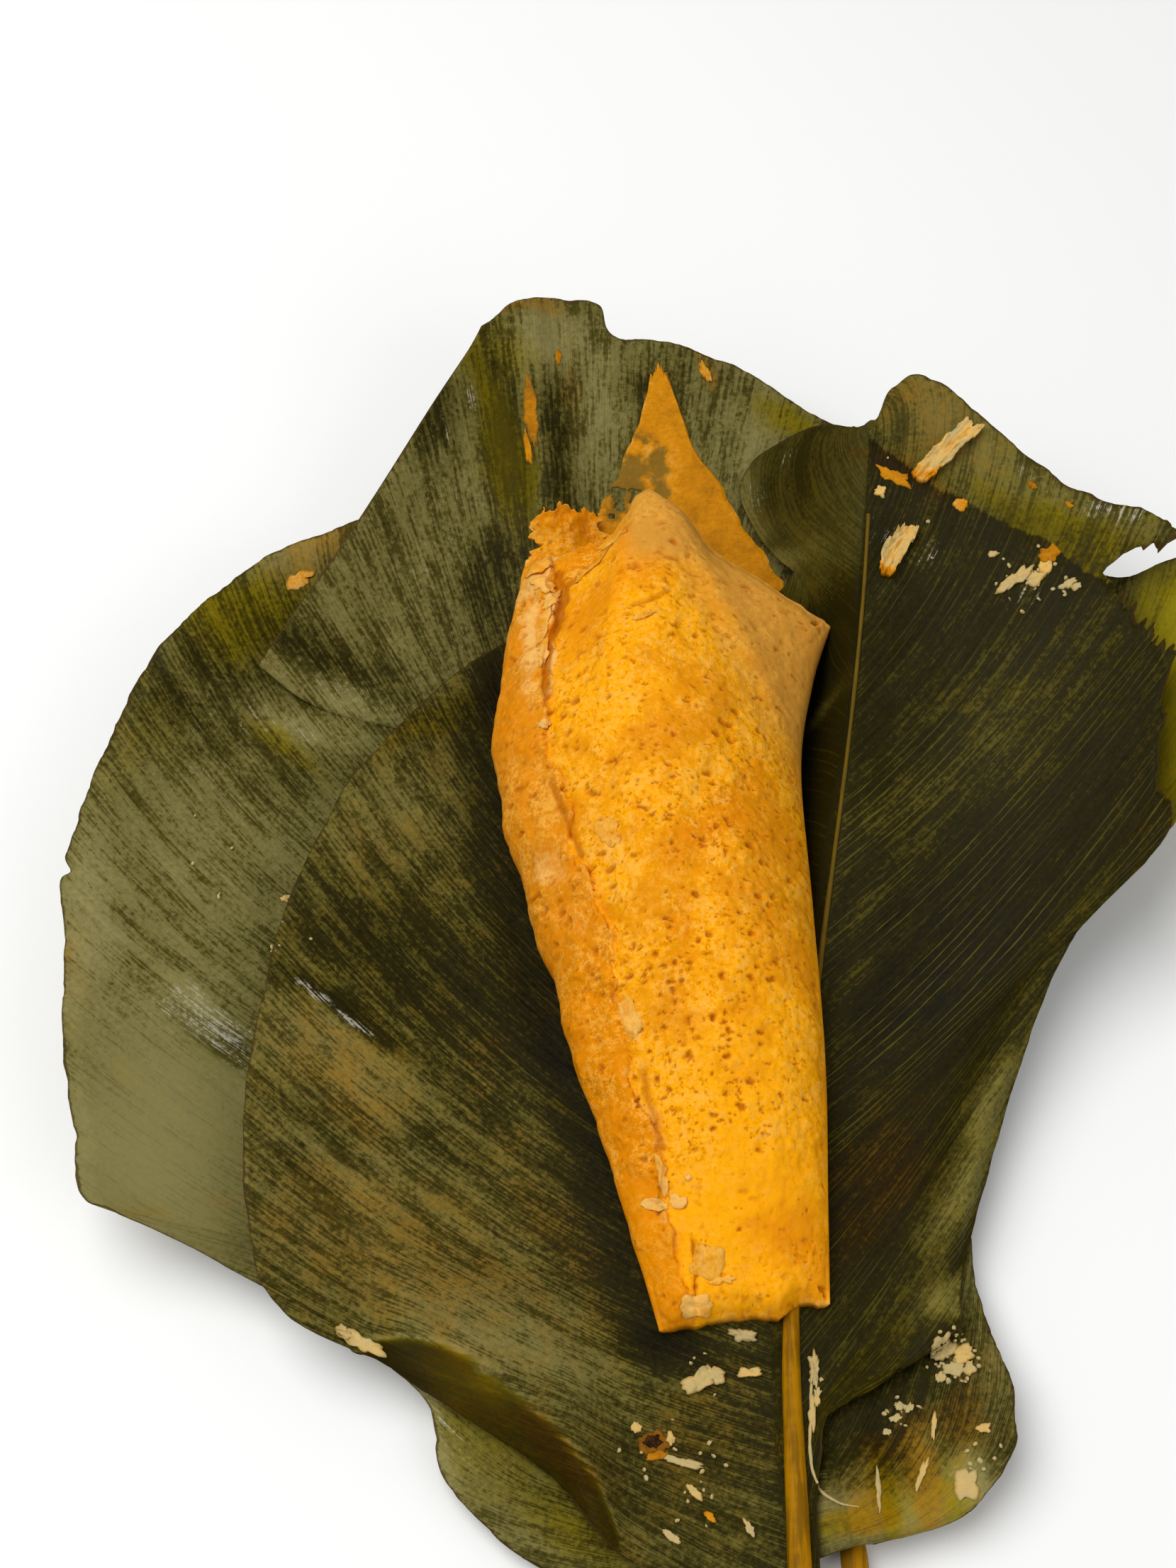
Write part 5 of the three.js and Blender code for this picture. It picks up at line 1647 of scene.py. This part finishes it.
def ragged_patch(patch):
    """Plan of a torn patch between its two long sides, with ragged sides and ends."""
    rows, columns = patch["grid"]
    ragged, seed = patch["ragged"], patch["seed"]
    u, v = cells(patch["grid"], 0.0)
    start = 0.12 * ragged * (1 + rough(v * 12, 0 * v, 2.5, seed))
    end = 1 - 0.22 * ragged * (1 + rough(v * 12, 0 * v, 2.5, seed + 1))
    run = lerp(start, end, u)
    left, right = patch["left"].at(run), patch["right"].at(run)
    side = 2 * v - 1
    tear = 1 + ragged * 0.4 * rough(run * 20, np.sign(side) * 9, 2.2, seed + 2) * np.abs(side)
    plan = (left + right) / 2 + (right - left) / 2 * (side * tear)[..., None]
    rim = np.minimum(np.minimum(u, 1 - u) * rows, np.minimum(v, 1 - v) * columns)
    return u, v, plan[..., 0], plan[..., 1], rim


def finish_patch(name, node, slot, x, y, top, under, keep, masks, material):
    piece = shell_piece(name, stacked(x, y, top), stacked(x, y, under), keep, masks, material)
    return stand_for(piece, slot, node)


def make_stuck_film(ground, material):
    """Skin stuck to the back leaf: solid along its right side and spike, worn through on the left."""
    u, v, x, y, rim = ragged_patch(STUCK_SKIN)
    worn = smoothstep(0.62 - v, 0, 0.25) * faded(u, 0.62, 0.8) * smoothstep(u, 0.05, 0.2)
    wear = rough(x, y, 5, 82) + 0.5 * rough(x, y, 1.6, 83)
    thin = np.clip(worn * (0.75 + 0.8 * wear), 0, 1)
    gone = (thin > 0.88) & (u < 0.4)
    keep = ~np.logical_or.reduce(cell_corners(gone))
    level = ground.height(x, y)
    thickness = lerp(*STUCK_SKIN["thickness"], thin) * smoothstep(rim, -0.5, 3)
    thickness = thickness + 0.12 * rough(x, y, 3, 84)
    top = level + np.maximum(thickness, STUCK_SKIN["thinnest"])
    tint = 0.68 + 0.12 * rough(x, y, 8, 85) - 0.1 * faded(rim, 0, 2)
    masks = {"tint": tint, "thin": np.maximum(thin, 0.4 * rough(x, y, 7, 86))}
    under = level - SUNK
    finish_patch("stuck_film", "stuck_skin", "stuck_skin", x, y, top, under, keep, masks, material)


def make_torn_tongue(ground, material):
    """Torn tongue of pudding that leans on the back leaf behind the notch."""
    flap = TORN_FLAP
    u, _, x, y, rim = ragged_patch(flap)
    level = ground.height(x, y) + flap["gap"]
    stand = flap["stand"] + flap["lean"] * smoothstep(u, 0.3, 1) * (0.6 + 0.4 * rough(x, y, 3, 92))
    body = flap["thickness"] * smoothstep(rim, -1, 5) + flap["thinnest"]
    top = level + stand + 0.35 * rough(x, y, 2.4, 93)
    under = np.maximum(top - body, level - flap["sink"])
    masks = {
        "pale": 0.5 * faded(rim, 0, 3), "tan": 0.1 + 0.5 * rough(x, y, 4, 94), "deep": np.full_like(u, 0.5),
    }
    keep = np.ones(flap["grid"], bool)
    finish_patch("torn_tongue", "torn_flap", "torn_flap", x, y, top, under, keep, masks, material)


def make_residue(name, node, patch, ground, material):
    """Dry fibrous strip of pudding on the inner leaf, with curled edges and an orange end."""
    seed = patch["seed"]
    u, v, x, y, _ = ragged_patch(patch)
    level = ground.height(x, y)
    side = np.abs(2 * v - 1)
    curl = RESIDUE["curl"] * side**2 * (0.7 + 0.7 * rough(u * 40, v * 3, 3, seed + 5))
    fibres = RESIDUE["fibres"] * rough(u * 20, v * 30, 4, seed + 6)
    top = level + RESIDUE["height"] + curl + fibres
    under = np.maximum(top - lerp(*RESIDUE["thickness"], side), level - SUNK)
    tint = 0.2 + 0.5 * faded(u, 0.0, 0.3) + 0.25 * rough(u * 30, v * 12, 6, seed + 7)
    tint = tint + 0.2 * faded(side, 0.0, 0.35) * smoothstep(u, 0.2, 0.4)
    masks = {"tint": tint, "thin": np.zeros_like(u)}
    keep = np.ones(patch["grid"], bool)
    finish_patch(name, node, "residue", x, y, top, under, keep, masks, material)


class MOIMOI_OT_residue(bpy.types.Operator):
    """Make the skin, tongue and strips of pudding that stuck to the leaves"""

    bl_idname = "moi_moi.residue"
    bl_label = "Stuck pudding"

    def execute(self, context):
        material = residue_material(context.scene.moi_moi.residue)
        back = Ground("back_wrap")
        inner = Ground("inner_wrap")
        make_stuck_film(back, material)
        make_torn_tongue(back, bpy.data.materials["crumbly_pudding"])
        make_residue("residue_long", "residue_strip", RESIDUE_STRIP, inner, material)
        make_residue("residue_short", "residue_scrap", RESIDUE_SCRAP, inner, material)
        return {"FINISHED"}


def scrap_mesh(scraps, ground):
    """Points, faces, tints and nearness to the rim of small torn scraps that lie on the ground."""
    rings, spokes, seed = SCRAP["rings"], SCRAP["spokes"], SCRAP["seed"]
    points, faces, tints, rims = [], [], [], []
    angle = np.linspace(0, 2 * np.pi, spokes, endpoint=False)
    cosine, sine = np.cos(angle), np.sin(angle)
    share = np.linspace(0, 1, rings + 1)[1:, None]
    rim = np.append(0, np.repeat(share, spokes))
    for number, (x, y, length, width, turn, thickness, curl, square, tint) in enumerate(scraps):
        corner = lerp(2.0, 7.0, square)
        outline = (np.abs(cosine) ** corner + np.abs(sine) ** corner) ** (-1 / corner)
        torn = rough(cosine * 2 + number * 9, sine * 2, 0.9, seed)
        outline = outline * (1 + lerp(0.4, 0.16, square) * torn)
        fibres = rough(length * cosine, number + np.sign(sine), 0.9, seed + 3)
        frayed = 1 + 0.5 * (1 - square) * fibres
        along = length * share * outline * cosine
        across = width * share * outline * frayed * sine
        offset_x, offset_y = turned(along, across, turn)
        flat_x = x + np.append(0, offset_x)
        flat_y = y + np.append(0, offset_y)
        level = ground.height(flat_x, flat_y)
        level = np.maximum(level, level[0] - SCRAP["steepest"] * np.hypot(flat_x - x, flat_y - y))
        lift = curl * rim**3 * (0.6 + 0.8 * rough(flat_x, flat_y, 1.5, seed + 1))
        body = 0.7 * thickness * (1 - 0.7 * rim**3) * (1 + 0.7 * rough(flat_x, flat_y, 0.9, seed + 2))
        top = stacked(flat_x, flat_y, level + np.maximum(lift + body, SCRAP["thinnest"]))
        under = stacked(flat_x, flat_y, level + np.maximum(lift - SUNK, -SUNK))
        points.extend([top, under])
        tints.append(np.full(2 * len(top), tint))
        rims.append(np.tile(rim, 2))
        faces.extend(scrap_faces(rings, spokes, 2 * len(top) * number, len(top)))
    return np.vstack(points), faces, np.concatenate(tints), np.concatenate(rims)


def scrap_faces(rings, spokes, shift, under):
    """Faces of one scrap: rings round a middle point above and below, and a wall between."""
    faces = []
    for i in range(spokes):
        j = (i + 1) % spokes
        first, second = shift + 1 + i, shift + 1 + j
        faces.append([shift, first, second])
        faces.append([shift + under, second + under, first + under])
        for ring in range(rings - 1):
            a, b = first + ring * spokes, second + ring * spokes
            faces.append([a, a + spokes, b + spokes, b])
            faces.append([b + under, b + spokes + under, a + spokes + under, a + under])
        a, b = first + (rings - 1) * spokes, second + (rings - 1) * spokes
        faces.append([a, a + under, b + under, b])
    return faces


def crumb_tree(material):
    """Small uneven crumbs scattered over a bed."""
    inputs = {"Size": "NodeSocketFloat", "Density": "NodeSocketFloat", "Seed": "NodeSocketInt"}
    tree, given = new_tree("crumbs", inputs)

    def picked(low, high):
        """Random vector for each crumb."""
        return put(tree, "FunctionNodeRandomValue", {0: low, 1: high}, data_type="FLOAT_VECTOR")

    density = named(tree, "crowd") * given["Density"]
    scatter = {"Mesh": given["Geometry"], "Density": density, "Seed": given["Seed"]}
    points = put(tree, "GeometryNodeDistributePointsOnFaces", scatter)
    lump = put(tree, "GeometryNodeMeshUVSphere", {"Segments": 8, "Rings": 5, "Radius": 1.0})
    turn = picked((0, 0, 0), (6.3, 6.3, 6.3))
    stretch = picked((0.25, 0.25, 0.2), (1.0, 0.8, 0.6))
    scale = put(tree, "ShaderNodeVectorMath", {0: stretch, "Scale": given["Size"]}, operation="SCALE")
    place = {"Points": points, "Instance": lump, "Rotation": turn, "Scale": scale}
    crumbs = put(tree, "GeometryNodeInstanceOnPoints", place)
    real = put(tree, "GeometryNodeRealizeInstances", {0: crumbs})
    end_tree(tree, uneven(tree, real, CRUMB["bump_scale"], CRUMB["unevenness"] * MM), material)
    return tree


def crumb_bed(ground):
    """Small patches on the leaves that crumbs are scattered over."""
    spokes = CRUMB["spokes"]
    points, faces, crowds = [], [], []
    angle = np.linspace(0, 2 * np.pi, spokes, endpoint=False)
    for x, y, radius, crowd in CRUMB_BEDS:
        ring_x = x + radius * np.concatenate([[0], np.cos(angle) / 2, np.cos(angle)])
        ring_y = y + radius * np.concatenate([[0], np.sin(angle) / 2, np.sin(angle)])
        shift = len(points)
        points.extend(stacked(ring_x, ring_y, ground.height(ring_x, ring_y) + CRUMB["lift"]))
        crowds.extend([crowd] * (1 + spokes) + [CRUMB["edge_crowd"] * crowd] * spokes)
        for i in range(spokes):
            a, b = shift + 1 + i, shift + 1 + (i + 1) % spokes
            faces.extend([[shift, a, b], [a, a + spokes, b + spokes, b]])
    return guide(points, [], faces, "crowd", np.asarray(crowds, np.float32))


class MOIMOI_OT_scraps(bpy.types.Operator):
    """Make the scraps, crumbs and thread that lie on the leaves and on the pudding"""

    bl_idname = "moi_moi.scraps"
    bl_label = "Scraps and crumbs"

    def execute(self, context):
        settings = context.scene.moi_moi.residue
        material = bpy.data.materials["stuck_pudding"]
        leaves = Ground("outer_wrap", "back_wrap", "inner_wrap")
        points, faces, tints, rims = scrap_mesh(LEAF_SCRAPS, leaves)
        masks = {"tint": tints, "thin": 0.15 + 0.45 * rims**3}
        on_leaves = mesh_piece("leaf_scraps", points, faces, masks, material)
        stand_for(on_leaves, "residue", "residue_strip")
        points, faces, tints, _ = scrap_mesh(PUDDING_SCRAPS, Ground("pudding_body"))
        masks = {"pale": 1 - tints, "tan": 0.8 * tints, "skin": np.full_like(tints, 0.6)}
        crumbly = bpy.data.materials["crumbly_pudding"]
        stand_for(mesh_piece("pudding_scraps", points, faces, masks, crumbly), "pudding", "pudding")
        values = {"Size": settings.crumb_size, "Density": 1 / MM**2, "Seed": CRUMB["seed"]}
        crumbs = grow("crumbs", crumb_bed(leaves), crumb_tree(material), values)
        stand_for(crumbs, "residue", "residue_scrap")
        self.make_thread(leaves, material)
        return {"FINISHED"}

    def make_thread(self, ground, material):
        """Pale thread of dried starch beside the stalk."""
        share = np.linspace(0, 1, THREAD["steps"])
        plan = THREAD["path"].at(share)
        y = plan[:, 1]
        x = plan[:, 0] + 0.2 * rough(y, 0 * y, 3, 131)
        points = stacked(x, y, ground.height(x, y) + THREAD["lift"])
        taper = 0.35 + 0.65 * np.sqrt(np.sin(np.pi * share).clip(0))
        radii = THREAD["radius"] * taper * (1 + 0.4 * rough(y, 0 * y, 2, 132))
        values = {"Sides": THREAD["sides"], "Unevenness": THREAD["unevenness"] * MM}
        thread = make_stalk("starch_thread", points, radii, stalk_tree(material), values)
        stand_for(thread, "residue", "residue_scrap")


# Stage

def look_from(item, place, aim):
    """Put an object in the scene, turned to look from a place at a point."""
    item.location = place
    item.rotation_euler = (Vector(aim) - Vector(place)).to_track_quat("-Z", "Y").to_euler()
    bpy.context.scene.collection.objects.link(item)


def area_light(name, place, power):
    light = bpy.data.lights.new(name, "AREA")
    light.shape = "DISK"
    light.size = LIGHTS["size"]
    light.energy = power
    look_from(bpy.data.objects.new(name, light), place, (0, 0, 0))


class MOIMOI_OT_stage(bpy.types.Operator):
    """Make the floor, the lights and the camera"""

    bl_idname = "moi_moi.stage"
    bl_label = "Stage"

    def execute(self, context):
        settings = context.scene.moi_moi.stage
        scene = context.scene
        scene.view_settings.view_transform = "Standard"
        half, level = FLOOR["half"], FLOOR["level"] * MM
        mesh = bpy.data.meshes.new("floor")
        corners = [(-half, -half, level), (half, -half, level), (half, half, level), (-half, half, level)]
        mesh.from_pydata(corners, [], [(0, 1, 2, 3)])
        looks = {"Base Color": rgba(settings.floor_colour), "Roughness": FLOOR["roughness"]}
        mesh.materials.append(dressed(new_material("floor")[0], looks))
        add_object("floor", mesh)
        area_light("key", LIGHTS["key"], settings.key_power)
        area_light("fill", LIGHTS["fill"], settings.fill_power)
        world = bpy.data.worlds.new("sky")
        world.use_nodes = True
        sky = {"Strength": settings.sky, "Color": (1, 1, 1, 1)}
        feed(world.node_tree, world.node_tree.nodes["Background"], sky)
        scene.world = world
        self.add_camera(scene)
        return {"FINISHED"}

    def add_camera(self, scene):
        """Camera at the photograph's viewing angle."""
        lens = bpy.data.cameras.new("camera")
        lens.sensor_width = CAMERA["sensor"]
        lens.lens = CAMERA["lens"]
        lens.clip_start = CAMERA["nearest"]
        camera = bpy.data.objects.new("camera", lens)
        look_from(camera, Vector(CAMERA["place"]) * MM, Vector(CAMERA["aim"]) * MM)
        scene.camera = camera


class MOIMOI_PT_panel(bpy.types.Panel):
    """Lists the steps that make the moi moi"""

    bl_idname = "MOIMOI_PT_panel"
    bl_label = "Moi Moi"
    bl_space_type = "VIEW_3D"
    bl_region_type = "UI"
    bl_category = "Moi Moi"

    def draw(self, context):
        for operator in OPERATORS:
            self.layout.operator(operator.bl_idname)


OPERATORS = (
    MOIMOI_OT_stage, MOIMOI_OT_leaves, MOIMOI_OT_stalks, MOIMOI_OT_pudding, MOIMOI_OT_residue,
    MOIMOI_OT_scraps,
)
SETTINGS = (LeafSettings, PuddingSettings, ResidueSettings, StalkSettings, StageSettings, MoiMoiSettings)


def register():
    for kind in (*SETTINGS, *OPERATORS, MOIMOI_PT_panel):
        bpy.utils.register_class(kind)
    bpy.types.Scene.moi_moi = PointerProperty(type=MoiMoiSettings)


def unregister():
    del bpy.types.Scene.moi_moi
    for kind in (MOIMOI_PT_panel, *reversed(OPERATORS), *reversed(SETTINGS)):
        bpy.utils.unregister_class(kind)


def main():
    register()
    bpy.ops.moi_moi.stage()
    bpy.ops.moi_moi.leaves()
    bpy.ops.moi_moi.stalks()
    bpy.ops.moi_moi.pudding()
    bpy.ops.moi_moi.residue()
    bpy.ops.moi_moi.scraps()


if __name__ == "__main__":
    main()
